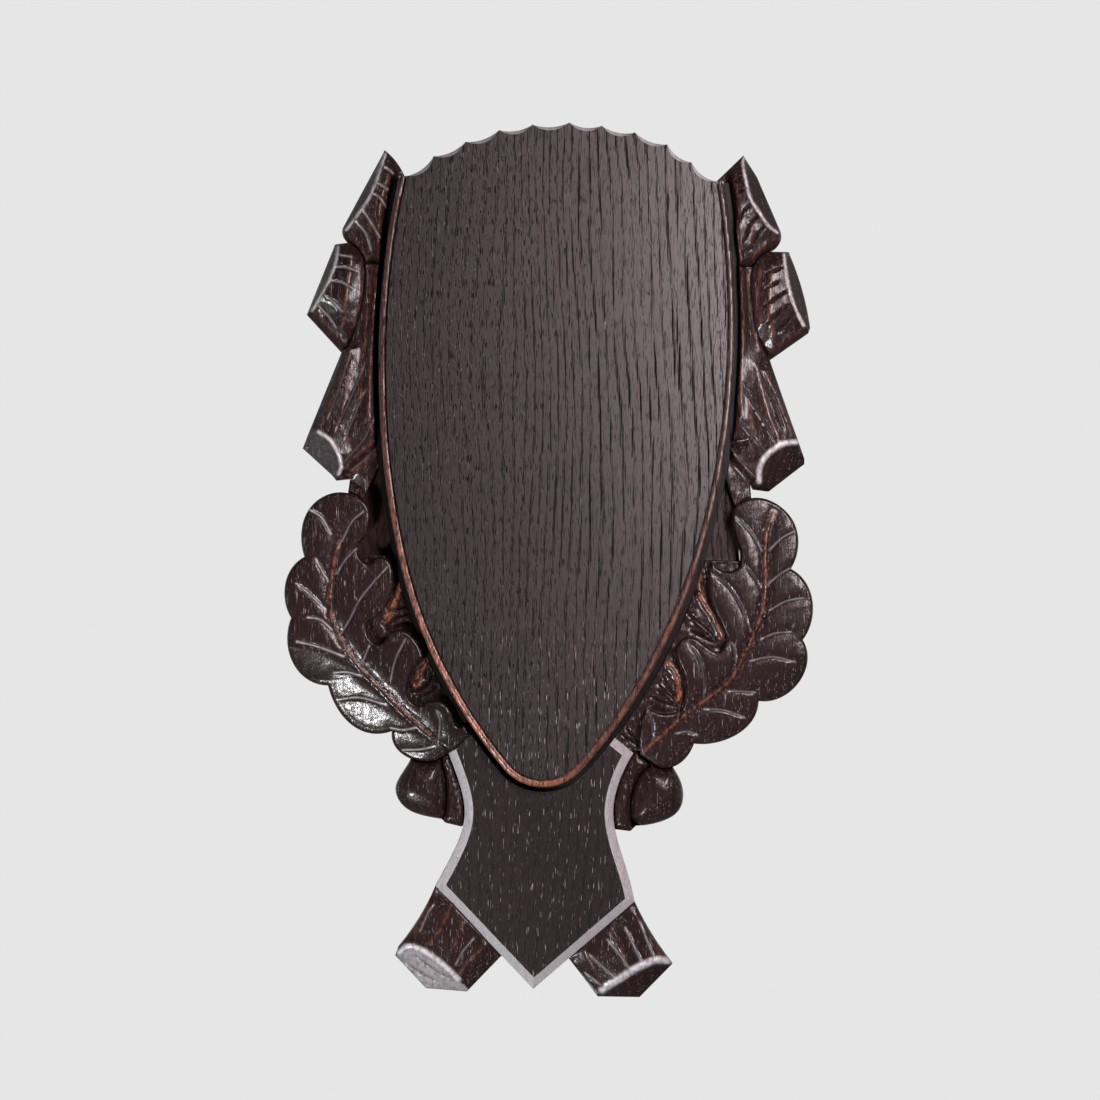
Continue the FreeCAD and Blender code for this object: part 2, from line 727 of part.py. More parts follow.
# ---------------------------------------------------------------- back board
recess_sides = []
recess_width = "dims.plate_width + 2 * dims.plate_clearance"
recess_flat = "dims.plate_length - dims.plate_width"
recess_sides.append(box("recess_flat", recess_width, "dims.plate_thickness", recess_flat,
                        "-dims.plate_width / 2 - dims.plate_clearance", "-dims.plate_thickness",
                        f"{plate_middle} - ({recess_flat}) / 2"))
for name, sign in (("recess_top", "+"), ("recess_bottom", "-")):
    end = doc.addObject("Part::Cylinder", name)
    end.Placement = Placement(Vector(0, 0, 0), UPRIGHT)
    end.setExpression("Radius", "dims.plate_width / 2 + dims.plate_clearance")
    end.setExpression("Height", "dims.plate_thickness")
    end.setExpression(".Placement.Base.z", f"{plate_middle} {sign} ({recess_flat}) / 2")
    recess_sides.append(end)
recess = fuse("recess", recess_sides)
head_pocket = keyhole("head_pocket", "dims.pocket_margin", "dims.pocket_depth")

silhouette = fuse("silhouette", ground)
edge_of_centre = "dims.centre_stave_width / 2"
staves = {
    "back_board_left": ("-dims.overall_width", f"dims.overall_width - {edge_of_centre}"),
    "back_board_centre": (f"-({edge_of_centre})", "dims.centre_stave_width"),
    "back_board_right": (edge_of_centre, f"dims.overall_width - {edge_of_centre}"),
}
for name, (left, width) in staves.items():
    stave = box(f"{name}_stave", width, "dims.board_thickness", "3 * dims.overall_height", left,
                "-dims.board_thickness", "-2 * dims.overall_height")
    blank = common(f"{name}_blank", silhouette, stave)
    tools = [recess, head_pocket, *plate_holes] if name == "back_board_centre" else [panel_hole_set]
    nodes[name] = cut(name, blank, *tools)
nodes["panel_main_stave"] = cut("panel_main_bored", panel_main_stave, panel_hole_set)

# ---------------------------------------------------------------- check and write
for name, node in nodes.items():
    node.Label = name
doc.recompute()

for item in doc.Objects:
    if any(word in item.State for word in ("Invalid", "Error")):
        raise RuntimeError(f"{item.Name} failed: {item.State}")
for name, node in nodes.items():
    shape = node.Shape
    if shape.isNull() or not shape.isValid() or not shape.Solids:
        raise RuntimeError(f"{name} has no valid solid")

os.makedirs("parts", exist_ok=True)
for name, node in sorted(nodes.items()):
    node.Shape.exportStep(f"parts/{name}.step")
    bounds = node.Shape.BoundBox
    print(f"{name:20s} {len(node.Shape.Solids)} solid(s) {node.Shape.Volume / 1000:8.1f} cm3  "
          f"{bounds.XLength:6.1f} x {bounds.YLength:5.1f} x {bounds.ZLength:6.1f} mm")
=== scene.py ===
"""Looks of the carved oak trophy shield: carved relief, dark stained oak, studio light and camera.

Lengths in the tables are millimetres from the outlines' datum, which lies 185 mm below the keyhole:
the first number to the right, the second up, and the third, where there is one, above the back board.
"""

import bpy
import json
import math

import numpy as np
from mathutils import Matrix, Vector
from mathutils.geometry import delaunay_2d_cdt

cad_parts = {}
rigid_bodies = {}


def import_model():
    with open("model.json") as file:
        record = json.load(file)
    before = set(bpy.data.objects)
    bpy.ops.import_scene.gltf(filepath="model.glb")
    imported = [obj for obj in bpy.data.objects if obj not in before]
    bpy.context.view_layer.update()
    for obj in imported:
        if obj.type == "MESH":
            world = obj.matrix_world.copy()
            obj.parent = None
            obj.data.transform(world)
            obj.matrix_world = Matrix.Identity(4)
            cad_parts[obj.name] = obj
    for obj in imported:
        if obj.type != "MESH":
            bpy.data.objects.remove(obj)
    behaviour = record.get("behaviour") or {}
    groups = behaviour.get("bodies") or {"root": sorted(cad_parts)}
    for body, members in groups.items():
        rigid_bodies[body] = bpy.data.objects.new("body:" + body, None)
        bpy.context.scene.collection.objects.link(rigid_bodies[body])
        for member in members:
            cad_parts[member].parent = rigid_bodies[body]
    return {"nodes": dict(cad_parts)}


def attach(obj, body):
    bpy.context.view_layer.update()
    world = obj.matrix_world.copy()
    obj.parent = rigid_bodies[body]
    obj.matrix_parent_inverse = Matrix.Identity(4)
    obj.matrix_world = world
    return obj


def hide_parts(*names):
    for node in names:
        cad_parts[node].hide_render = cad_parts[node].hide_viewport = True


for leftover in list(bpy.data.objects):
    bpy.data.objects.remove(leftover)

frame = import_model()
bpy.context.view_layer.update()

MM = 0.001
DATUM = 185.0  # the keyhole is this far above the tables' datum
BOARD = 12.0  # thickness of the back board

# How finely the carvings are meshed, in millimetres.
LINE_STEP = 0.8  # between the points of a smooth line
OUTLINE_STEP = 1.0
RING_INSETS = (0.25, 0.6, 1.1, 1.8)  # rows of points along the inside of the outline
RING_NEARNESS = 0.93  # a point nearer to the outline than this share of its row's inset is left out
RING_GAP = 0.22
STROKE_GAP = 0.3
STROKE_MARGIN = 0.5  # from a stroke's points to the outline
STROKE_SIDES = (-1, -0.5, 0.5, 1)  # lines of points beside a stroke's middle, in half widths
STROKE_CELL = 0.9  # a cell with a stroke's point in it takes no point of the grid
GRID_MARGIN = 2.1  # from the grid to the outline
GRID_ROW = 0.87  # between rows of the triangular grid, in spacings
FACET_LINE_STEP = 2.5
FACET_EDGE_STEP = 4
INSIDE_OUTLINE = 1  # what the triangulation keeps
TINY = 1e-9
LOWEST = 0.6  # the least height of a carving above the back board
EVENNESS = 0.6  # share of the neighbours' height in each round of evening out
CREASE_ANGLE = math.radians(50)

# ---------------------------------------------------------------- carved features
# Ridges, valleys and rims that shape the branches and feet.
RIDGES = {
    "left_upper_stub": [
        [(-98, 231.5, 11), (-99, 227.5, 14), (-102.5, 216, 16.5), (-106.5, 206, 16.5), (-112, 197.5,
         15), (-117.5, 190, 11.5), (-119.5, 187.5, 9)],
        [(-94.5, 221, 14.5), (-97, 211.5, 17), (-99.5, 202, 17.5), (-100.5, 190.5, 17), (-100.5,
         179, 17), (-100.5, 169.5, 17)],
        [(-88.5, 216.5, 11.5), (-92.5, 202, 12), (-94.5, 187.5, 12), (-96.5, 169.5, 12)],
        [(-105, 196, 15.5), (-106, 184.5, 14.5), (-105, 173, 14)],
        [(-116, 186, 10.5), (-112.5, 178, 10.5), (-107.5, 172, 11)],
    ],
    "left_middle_stub": [
        [(-124, 177.5, 11.5), (-125, 169, 15), (-128.5, 158.5, 17), (-133, 149.5, 16.5), (-138, 141,
         12)],
        [(-116, 172.5, 15.5), (-117, 161.5, 17.5), (-119, 147, 17.5), (-120, 133, 15)],
        [(-111, 167.5, 14), (-110.5, 150, 14.5), (-113.5, 133, 13)],
        [(-137, 140, 9.5), (-128, 130.5, 10.5), (-119, 123, 10)],
    ],
    "left_trunk": [
        [(-101, 168, 16.5), (-102, 147.5, 16.5), (-103.5, 124.5, 16.5), (-104.5, 101.5, 16.5),
         (-104.5, 79, 16), (-101.5, 72, 14)],
        [(-105, 167, 13.5), (-105.5, 147.5, 13), (-108, 121.5, 13), (-109, 99, 13), (-110, 83.5,
         13.5)],
        [(-116, 118.5, 15.5), (-122.5, 99, 16.5), (-129.5, 83, 16), (-132.5, 72.5, 15)],
        [(-114.5, 110, 14.5), (-118, 93, 14.5), (-121, 75.5, 15), (-115.5, 67, 14.5)],
        [(-133.5, 71.5, 15), (-126.5, 67, 16.5), (-122, 60, 16.5), (-120, 53, 14.5), (-121.5, 47.5,
         10)],
        [(-117.5, 51, 13.5), (-108.5, 60.5, 14), (-100, 67.5, 13)],
        [(-120, 45.5, 7.5), (-111.5, 50, 7.5), (-96, 64, 7)],
        [(-98.5, 56, 7), (-93, 33.5, 7), (-87.5, 10.5, 7)],
        [(-109, 38.5, 5.5), (-102, 21.5, 6), (-94, 4.5, 6)],
    ],
    "right_upper_stub": [
        [(107, 232.5, 12), (106.5, 228.5, 14.5), (108.5, 218.5, 16.5), (111, 209.5, 17), (116,
         201.5, 16.5), (121.5, 194, 14), (127, 190, 10)],
        [(101.5, 218.5, 14.5), (104.5, 205.5, 17), (103.5, 190, 17), (106, 173, 16.5)],
        [(97.5, 208, 11.5), (99, 191, 12), (102, 173, 12)],
        [(112.5, 194, 15), (112, 182.5, 14)],
        [(125, 187, 10), (119.5, 181, 11), (113, 175.5, 12)],
    ],
    "right_middle_stub": [
        [(131, 177.5, 12.5), (132, 169, 15.5), (134, 158.5, 17), (136.5, 150, 17), (140.5, 141.5,
         13.5), (143, 137, 10)],
        [(124.5, 171, 16), (122.5, 157, 17.5), (123, 143, 17), (126, 131, 13)],
        [(117.5, 168.5, 14.5), (116, 154, 15), (118.5, 137, 14)],
        [(142, 135, 9.5), (134.5, 130, 11), (125.5, 123.5, 10.5)],
    ],
    "right_trunk": [
        [(106, 173, 16.5), (107, 151, 16.5), (108, 128.5, 16.5), (107, 105.5, 16), (107.5, 83.5,
         15.5), (103.5, 72, 13)],
        [(110.5, 169.5, 12.5), (112, 151.5, 12), (114, 134, 12), (118.5, 123, 13)],
        [(116, 113.5, 15.5), (120, 97, 17), (124.5, 83, 17), (129.5, 72.5, 16)],
        [(122, 110.5, 14.5), (129.5, 93, 15), (136, 77.5, 14)],
        [(112.5, 94, 14.5), (114.5, 77, 14.5), (119.5, 66.5, 14.5)],
        [(140, 70.5, 12), (133, 69.5, 15.5), (126, 65.5, 16.5), (121, 60, 15.5), (119, 53.5, 13),
         (119, 47.5, 9)],
        [(101, 67, 13.5), (109, 59, 13.5), (115.5, 50.5, 11)],
        [(100.5, 60.5, 7), (109, 51.5, 7), (114, 46, 6.5)],
        [(98, 48, 7.5), (95, 25, 7.5), (90.5, 5, 7)],
        [(107, 39.5, 6.5), (104, 28, 6), (98.5, 11, 6.5)],
    ],
    "left_foot_stub": [
        [(-82, -225.5, 6), (-78, -222, 8), (-72.5, -222.5, 9.2), (-64, -226.5, 9.4), (-54.5, -234,
         8.5), (-48, -240.5, 6)],
        [(-52.5, -197.5, 9.5), (-59, -212, 9.8), (-67.5, -222.5, 9.5)],
        [(-65, -198, 8), (-74.5, -215.5, 7.5)],
        [(-33, -220.5, 8.5), (-40.5, -229, 7.5), (-49, -238.5, 6)],
        [(-46, -209, 9.4), (-50, -220.5, 9.4)],
    ],
    "right_foot_stub": [
        [(34.5, -245, 5.5), (37.5, -242.5, 7.5), (44.5, -238, 9), (51.5, -233, 9.5), (58.5, -229.5,
         9.5), (65, -227, 8.5), (72.5, -227.5, 6)],
        [(38.5, -210.5, 9.6), (45.5, -222, 9.8), (49, -232, 9.6)],
        [(24, -222, 8.8), (30, -233.5, 8), (35.5, -241.5, 6.5)],
        [(53, -201.5, 8.5), (61, -214.5, 8.5), (68.5, -225, 7)],
    ],
}
# Heights along the edge of each piece, going round it once.
EDGES = {
    "left_upper_stub": [
        (-97, 232.5, 9), (-90.5, 226, 9), (-86, 217, 9), (-89, 196.5, 9.5), (-94, 169.5, 10), (-108,
         169, 10), (-118, 180, 7), (-121, 183, 6), (-121.5, 188.5, 4.5), (-110, 210.5, 4.5), (-98.5,
         231.5, 4.5),
    ],
    "left_middle_stub": [
        (-124.5, 179, 8), (-118.5, 180, 10), (-111.5, 174.5, 11), (-108, 164, 12), (-108.5, 150.5,
         12.5), (-112, 135, 11), (-117.5, 120, 7), (-121, 118.5, 5), (-130.5, 128.5, 5), (-140.5,
         138.5, 4.5), (-133, 159, 4.5), (-126, 178, 4.5),
    ],
    "left_trunk": [
        (-100.5, 168, 15), (-103.5, 119, 15), (-103.5, 79, 14.5), (-101.5, 64.5, 8), (-97.5, 39, 7),
         (-86.5, 2, 6.5), (-101.5, -1, 6), (-113.5, 37.5, 5.5), (-115, 43, 5.5), (-115.5, 45.5, 5),
         (-124, 44, 4.5), (-125.5, 47.5, 4.5), (-133.5, 55, 4.5), (-141, 64, 4.5), (-139.5, 69, 8),
         (-130, 92, 9), (-121.5, 116.5, 9), (-117.5, 121, 12), (-112, 135, 13), (-108.5, 150.5, 13),
         (-108, 164, 13),
    ],
    "right_upper_stub": [
        (93, 219, 9), (99.5, 226, 9.5), (106.5, 233, 10.5), (108.5, 232.5, 5), (115, 221, 4.5),
         (122.5, 206, 4.5), (129, 192, 4.5), (128.5, 187, 5.5), (123.5, 180, 6), (115.5, 172, 9),
         (103, 169.5, 13), (98.5, 173, 10), (95.5, 194, 9.5), (93, 214, 9),
    ],
    "right_middle_stub": [
        (122, 178.5, 11), (133.5, 179, 10), (135, 178, 4.5), (141.5, 158, 4.5), (147, 137.5, 4.5),
         (146.5, 134, 4.5), (135.5, 125.5, 5), (123.5, 116.5, 6), (116.5, 134, 12), (114, 151.5,
         13), (115.5, 171, 13),
    ],
    "right_trunk": [
        (100.5, 168, 15), (103, 134, 15), (103.5, 94, 14.5), (101, 71, 9), (98, 48, 7.5), (89, 8,
         7), (104.5, 4.5, 6.5), (106.5, 25.5, 6), (114.5, 37, 6), (114.5, 46.5, 6), (116, 44, 4.5),
         (125, 43.5, 4.5), (144, 58, 4.5), (144.5, 61, 5), (140.5, 71, 8), (130, 99, 9), (124, 116,
         10), (116.5, 134, 12), (114, 151.5, 12), (115.5, 169.5, 13),
    ],
    "left_foot_stub": [
        (-62, -187, 7), (-70, -208, 5), (-82, -222, 3.5), (-84, -227, 3), (-66, -245, 3), (-43,
         -247, 3), (-34, -237, 3.5), (-24, -227, 5), (-38, -212, 8.5), (-52, -197, 8.5),
    ],
    "right_foot_stub": [
        (52, -194, 7), (59, -211, 5), (73, -229, 3.5), (65, -240, 3), (56, -249, 3), (32, -249, 3),
         (22, -236, 3.5), (14, -226, 5), (26, -216, 8.5), (40, -204, 8.5),
    ],
}
# Strokes of the gouge across the bark.
GOUGES = {
    "left_upper_stub": [
        [(-102.5, 214), (-96, 210.5)],
        [(-104.5, 208), (-100, 205), (-95.5, 198.5)],
        [(-110.5, 199), (-105.5, 192), (-100, 183)],
        [(-114, 192), (-108, 185), (-105, 176)],
        [(-97.5, 223), (-93.5, 220)],
    ],
    "left_middle_stub": [
        [(-125.5, 165.5), (-119.5, 165.5), (-112.5, 163.5)],
        [(-127, 158), (-120.5, 156.5), (-114, 153)],
        [(-130.5, 149), (-124.5, 144.5), (-121, 140.5)],
        [(-134, 143), (-128, 137), (-124.5, 131.5)],
        [(-123, 172.5), (-116, 171.5)],
    ],
    "left_trunk": [
        [(-124.5, 47.5), (-115, 58), (-106, 69.5), (-99.5, 86)],
        [(-114, 50), (-106, 57), (-98, 65)],
        [(-123.5, 71.5), (-114.5, 92.5), (-107, 111)],
        [(-118, 67), (-111.5, 84.5), (-106.5, 96)],
        [(-121.5, 115), (-126.5, 100), (-131.5, 86.5)],
        [(-115, 117.5), (-121.5, 97), (-128, 78.5)],
        [(-106.5, 44.5), (-102, 27.5), (-96.5, 10.5)],
        [(-99, 52.5), (-94, 30.5), (-89, 7.5)],
    ],
    "right_upper_stub": [
        [(101, 218.5), (106, 222)],
        [(100, 207.5), (104, 212.5), (108.5, 214.5)],
        [(103, 190.5), (106, 199), (111, 206)],
        [(107.5, 183), (111.5, 193.5), (117, 200.5)],
        [(110, 177.5), (115.5, 188), (120.5, 194)],
    ],
    "right_middle_stub": [
        [(120.5, 167), (125.5, 168), (130.5, 170.5)],
        [(119, 157.5), (123.5, 159), (128.5, 162.5)],
        [(118, 145.5), (124, 150.5), (133.5, 157)],
        [(121.5, 136), (127, 142.5), (135.5, 150)],
        [(127.5, 132), (133, 139), (138.5, 144.5)],
    ],
    "right_trunk": [
        [(107.5, 105), (116, 89.5), (123.5, 78), (128, 68.5)],
        [(106.5, 83.5), (114.5, 73.5), (124, 63)],
        [(100.5, 69.5), (108, 59.5), (117.5, 49.5)],
        [(119.5, 110), (125.5, 95.5), (133, 76)],
        [(124.5, 103.5), (130.5, 90), (137, 74)],
        [(110, 165.5), (112, 145.5), (116.5, 125.5)],
        [(102.5, 42.5), (98.5, 19.5), (93, 2)],
        [(108.5, 39.5), (104.5, 25.5)],
    ],
    "left_foot_stub": [
        [(-79, -231), (-70, -236.5), (-58.5, -243)],
        [(-74.5, -226.5), (-64.5, -233), (-53.5, -240.5)],
        [(-49.5, -231.5), (-46, -224.5), (-39.5, -216.5)],
        [(-70, -212.5), (-66.5, -203.5), (-63, -198)],
        [(-81.5, -231), (-78.5, -236.5)],
    ],
    "right_foot_stub": [
        [(24.5, -235.5), (31.5, -240.5), (37, -245)],
        [(27, -225), (35, -232), (43.5, -239)],
        [(37, -216), (44.5, -225), (51.5, -235)],
        [(47, -209), (52, -219), (57.5, -230)],
        [(55.5, -205.5), (60, -217), (64.5, -227)],
        [(14.5, -229), (22.5, -237), (31.5, -247)],
    ],
}
RIBS = {
    "left": [(-119.5, 13), (-122.5, 0), (-124, -10.5), (-125, -21), (-124, -33.5), (-119.5, -44.5),
     (-112.5, -55.5), (-102, -67.5), (-91.5, -77.5), (-81, -88), (-70.5, -97), (-63.5, -103)],
    "right": [(128, 30.5), (124, 19), (123, 8), (123.5, -12.5), (121.5, -28), (116.5, -41.5), (110,
     -56), (104, -66.5), (93.5, -75.5), (79.5, -86), (68, -96.5), (56.5, -107)],
}
VEINS = {
    "left": [
        [(-137.5, 27), (-130.5, 22.5), (-125, 13.5)],
        [(-133.5, -1), (-130, -7.5), (-126, -14)],
        [(-144, -15.5), (-136.5, -21.5), (-128, -29.5)],
        [(-137.5, -34.5), (-130, -36), (-123.5, -41.5)],
        [(-143.5, -48.5), (-130.5, -51.5), (-116.5, -56.5)],
        [(-122, -66), (-114.5, -65.5), (-106.5, -67.5)],
        [(-120, -81.5), (-107, -80), (-91.5, -84)],
        [(-89, -97), (-82, -98), (-74.5, -96.5)],
        [(-82, -109.5), (-72, -109), (-63.5, -107)],
        [(-106.5, 26.5), (-113, 20.5), (-118.5, 9.5)],
        [(-110, 5.5), (-116.5, -1.5), (-121, -9)],
        [(-92.5, -5), (-101.5, -15.5), (-108.5, -25), (-113.5, -35.5), (-118.5, -43.5)],
        [(-81.5, -46), (-87, -58), (-89.5, -69.5)],
        [(-102, -50), (-105.5, -59.5)],
        [(-63, -86.5), (-61, -93), (-61.5, -102)],
    ],
    "right": [
        [(139.5, 19.5), (132.5, 15.5), (125.5, 8.5)],
        [(138.5, -1), (132, -5), (125, -11)],
        [(145, -18.5), (135.5, -20.5), (126, -26)],
        [(138.5, -38), (129.5, -39), (121.5, -42.5)],
        [(141, -55), (128, -52.5), (115.5, -55)],
        [(118.5, -73), (111, -72.5), (103, -72.5)],
        [(113, -87.5), (101.5, -83.5), (90, -83)],
        [(86, -98), (81, -96), (74.5, -97)],
        [(106, 27), (114.5, 18.5), (121, 8.5)],
        [(112, -1), (116, -6), (120.5, -11.5)],
        [(92.5, -5.5), (102, -12.5), (109.5, -23.5), (115.5, -37.5)],
        [(104, -44.5), (106.5, -49.5), (107.5, -56)],
        [(79.5, -45), (85.5, -52.5), (89, -63.5), (89.5, -77)],
        [(57, -82.5), (60, -91), (61, -101)],
        [(78, -80), (75.5, -85), (74.5, -90)],
    ],
}
# Short cuts that fan out in the gaps between the lobes.
FANS = {
    "left": [
        [(-95.5, -39), (-89.5, -30.5), (-78, -26)],
        [(-94.5, -40), (-86.5, -34), (-77.5, -30.5)],
        [(-94, -41.5), (-85.5, -38), (-77, -36)],
        [(-94.5, -36.5), (-91, -26), (-86.5, -17)],
        [(-77.5, -75), (-70.5, -66), (-67.5, -59)],
        [(-76, -77.5), (-68.5, -71.5), (-65, -64.5)],
        [(-75, -79), (-67, -76), (-62.5, -71)],
        [(-77, -71.5), (-73, -62.5), (-70, -58)],
        [(-65, -87.5), (-57.5, -94.5), (-54, -100)],
        [(-70, -90), (-63, -98), (-59.5, -104.5)],
    ],
    "right": [
        [(79, -28), (86, -33.5), (96, -42.5)],
        [(82, -32.5), (89, -38), (96.5, -44)],
        [(81, -38), (88, -41.5), (96, -45)],
        [(64, -69.5), (69, -75), (74.5, -79.5)],
        [(66.5, -64.5), (70, -71.5), (75, -78)],
        [(59, -76), (67, -79.5), (75, -81.5)],
        [(63, -72.5), (69, -77), (74.5, -81)],
        [(45.5, -94.5), (51, -100.5), (56, -105)],
        [(43, -98), (49, -102), (55, -106)],
    ],
}
# Folded edges of the under leaves, rubbed lighter than the rest.
FOLDS = {
    "left": [
        [(-84, -14), (-88, -24), (-93, -35.5)],
        [(-68.5, -58), (-72.5, -65), (-75, -73)],
        [(-101, 33), (-101.5, 16), (-102, 5.5)],
    ],
    "right": [
        [(85.5, 1), (85.5, -9.5), (87, -18.5), (90, -23.5), (96, -33), (100, -41)],
        [(69, -57.5), (73.5, -62), (76, -70), (75, -78)],
    ],
}


# ---------------------------------------------------------------- plan geometry
def path_points(path, step=LINE_STEP):
    """Points along a smooth line through the given ones, at even steps."""
    knots = np.array([p[:2] for p in path], float)
    if len(knots) == 2:
        count = max(2, int(np.linalg.norm(knots[1] - knots[0]) / step) + 1)
        return knots[0] + np.linspace(0, 1, count)[:, None] * (knots[1] - knots[0])
    padded = np.vstack([2 * knots[0] - knots[1], knots, 2 * knots[-1] - knots[-2]])
    run = []
    for a, b, c, d in zip(padded, padded[1:], padded[2:], padded[3:]):
        count = max(2, int(np.linalg.norm(c - b) / step) + 1)
        t = np.linspace(0, 1, count, endpoint=False)[:, None]
        run.append(0.5 * (2 * b + (c - a) * t + (2 * a - 5 * b + 4 * c - d) * t ** 2
                          + (3 * b - a - 3 * c + d) * t ** 3))
    return np.vstack(run + [knots[-1:]])


def nearest(points, line, closed=False):
    """Distance from each point to a polyline, the part of its length there, and the side it is on."""
    ends = np.vstack([line, line[:1]]) if closed else line
    start, reach = ends[:-1], np.diff(ends, axis=0)
    squares = np.maximum((reach ** 2).sum(1), 1e-12)
    offset = points[:, None, :] - start[None]
    part = np.clip((offset * reach).sum(2) / squares, 0, 1)
    gap = offset - part[..., None] * reach
    distance = np.sqrt((gap ** 2).sum(2))
    best = distance.argmin(1)
    row = np.arange(len(points))
    lengths = np.sqrt(squares)
    travelled = np.concatenate([[0], np.cumsum(lengths)])
    place = (travelled[best] + part[row, best] * lengths[best]) / travelled[-1]
    turn = reach[best, 0] * gap[row, best, 1] - reach[best, 1] * gap[row, best, 0]
    return distance[row, best], place, np.sign(turn)


def off_line(points, path):
    """Distance from each point to the smooth line through a table's path."""
    return nearest(points, path_points(path))[0]


def inside(points, loop):
    """Whether each point lies in the closed loop."""
    x, z = points[:, 0], points[:, 1]
    hit = np.zeros(len(points), bool)
    for (x0, z0), (x1, z1) in zip(loop, np.roll(loop, -1, axis=0)):
        crosses = (z0 > z) != (z1 > z)
        if crosses.any():
            hit ^= crosses & (x < (x1 - x0) * (z - z0) / (z1 - z0) + x0)
    return hit


def pairs_round(ring):
    """Each corner of a closed ring with the one after it."""
    return zip(ring, ring[1:] + ring[:1])


def followed(after):
    """The keys of a closed chain in order, each key's value being the next key."""
    first = here = next(iter(after))
    chain = []
    while True:
        chain.append(here)
        here = after[here]
        if here == first:
            return chain


def footprint(name):
    """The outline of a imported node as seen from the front, in plan millimetres, anticlockwise."""
    mesh = frame["nodes"][name].data
    place = np.array([v.co for v in mesh.vertices])
    plan = place[:, [0, 2]] / MM + (0, DATUM)
    key = [tuple(p) for p in np.round(plan * 100).astype(int)]
    uses = {}
    for face in mesh.polygons:
        on_the_back = face.normal.y > 0.99
        if on_the_back:
            for pair in pairs_round([key[i] for i in face.vertices]):
                uses[pair] = uses.get(pair, 0) + 1
    follows = {a: b for (a, b), n in uses.items() if a != b and uses.get((b, a), 0) < n}
    where = {k: p for k, p in zip(key, plan)}
    loop = np.array([where[k] for k in followed(follows)])
    area = (loop[:, 0] * np.roll(loop[:, 1], -1) - np.roll(loop[:, 0], -1) * loop[:, 1]).sum()
    return loop[::-1] if area < 0 else loop


def refined(loop, step):
    """The loop with every long side divided, its own corners kept."""
    points = []
    for a, b in zip(loop, np.roll(loop, -1, axis=0)):
        count = max(1, int(math.ceil(np.linalg.norm(b - a) / step)))
        points.extend(a + (b - a) * k / count for k in range(count))
    return np.array(points)


def cell_of(point, size):
    return int(point[0] // size), int(point[1] // size)


def thinned(points, gap):
    """The points with any closer than the gap to an earlier one left out."""
    kept, cells = [], {}
    for p in points:
        column, row = cell_of(p, gap)
        near = [q for i in (-1, 0, 1) for j in (-1, 0, 1) for q in cells.get((column + i, row + j), ())]
        if all((p[0] - q[0]) ** 2 + (p[1] - q[1]) ** 2 >= gap * gap for q in near):
            kept.append(p)
            cells.setdefault((column, row), []).append(p)
    return np.array(kept)


def triangulated(loop, within):
    """Triangles that fill the loop and use the points within it."""
    corners = [Vector(p) for p in loop] + [Vector(p) for p in within]
    sides = [(i, (i + 1) % len(loop)) for i in range(len(loop))]
    verts, _, faces, *_ = delaunay_2d_cdt(corners, sides, [], INSIDE_OUTLINE, 1e-4)
    return np.array([tuple(v) for v in verts]), [tuple(f) for f in faces]


# ---------------------------------------------------------------- relief
class Cut:
    """A V-shaped stroke of a gouge: its depth at its middle, and its half width."""

    def __init__(self, path, depth, width, ends=0.25):
        self.line = path_points(path)
        self.depth, self.width, self.ends = depth, width, ends

    def at(self, points):
        distance, place, _ = nearest(points, self.line)
        across = np.clip(1 - distance / self.width, 0, 1)
        taper = np.clip(np.minimum(place, 1 - place) / self.ends, 0, 1)
        return self.depth * across * np.sin(taper * math.pi / 2)

    def guides(self):
        """Points along the stroke's middle and its two sides, so that it comes out crisp."""
        along = np.gradient(self.line, axis=0)
        along /= np.maximum(np.linalg.norm(along, axis=1), TINY)[:, None]
        side = np.stack([-along[:, 1], along[:, 0]], 1)
        return np.vstack([self.line] + [self.line + side * self.width * k for k in STROKE_SIDES])


WAVE_SPREADS = (1, 0.8, 1.3, 0.55, 0.62, 0.4, 1.7)


def waviness(points, size, seed):
    """Smooth random heights between about -1 and 1, as hand work leaves, of the given size."""
    rng = np.random.default_rng(seed)
    angles = rng.uniform(0, 2 * math.pi, (len(WAVE_SPREADS), 2))
    total = np.zeros(len(points))
    for spread, (turn, phase) in zip(WAVE_SPREADS, angles):
        wave = 2 * math.pi / (size * spread)
        total += np.sin(points[:, 0] * wave * math.cos(turn) + points[:, 1] * wave * math.sin(turn) + phase)
    return total / 4


def hill(distance, width, power=2):
    """1 on the line, falling to nothing beside it."""
    return np.exp(-(distance / width) ** power)


def eased(distance, radius):
    """How much a rounded arris of this radius falls away this far in from the edge."""
    left = np.clip(radius - distance, 0, radius)
    return radius - np.sqrt(np.maximum(radius * radius - left * left, 0))


def edge_levels(edge, anchors):
    """Heights round a closed edge, from the heights given near some of its points."""
    at = {}
    for x, z, height in anchors:
        at[int(((edge - (x, z)) ** 2).sum(1).argmin())] = height
    order = sorted(at)
    turn = order + [order[0] + len(edge)]
    levels = [at[i] for i in order] + [at[order[0]]]
    steps = np.arange(len(edge))
    return np.interp(np.where(steps < order[0], steps + len(edge), steps), turn, levels)


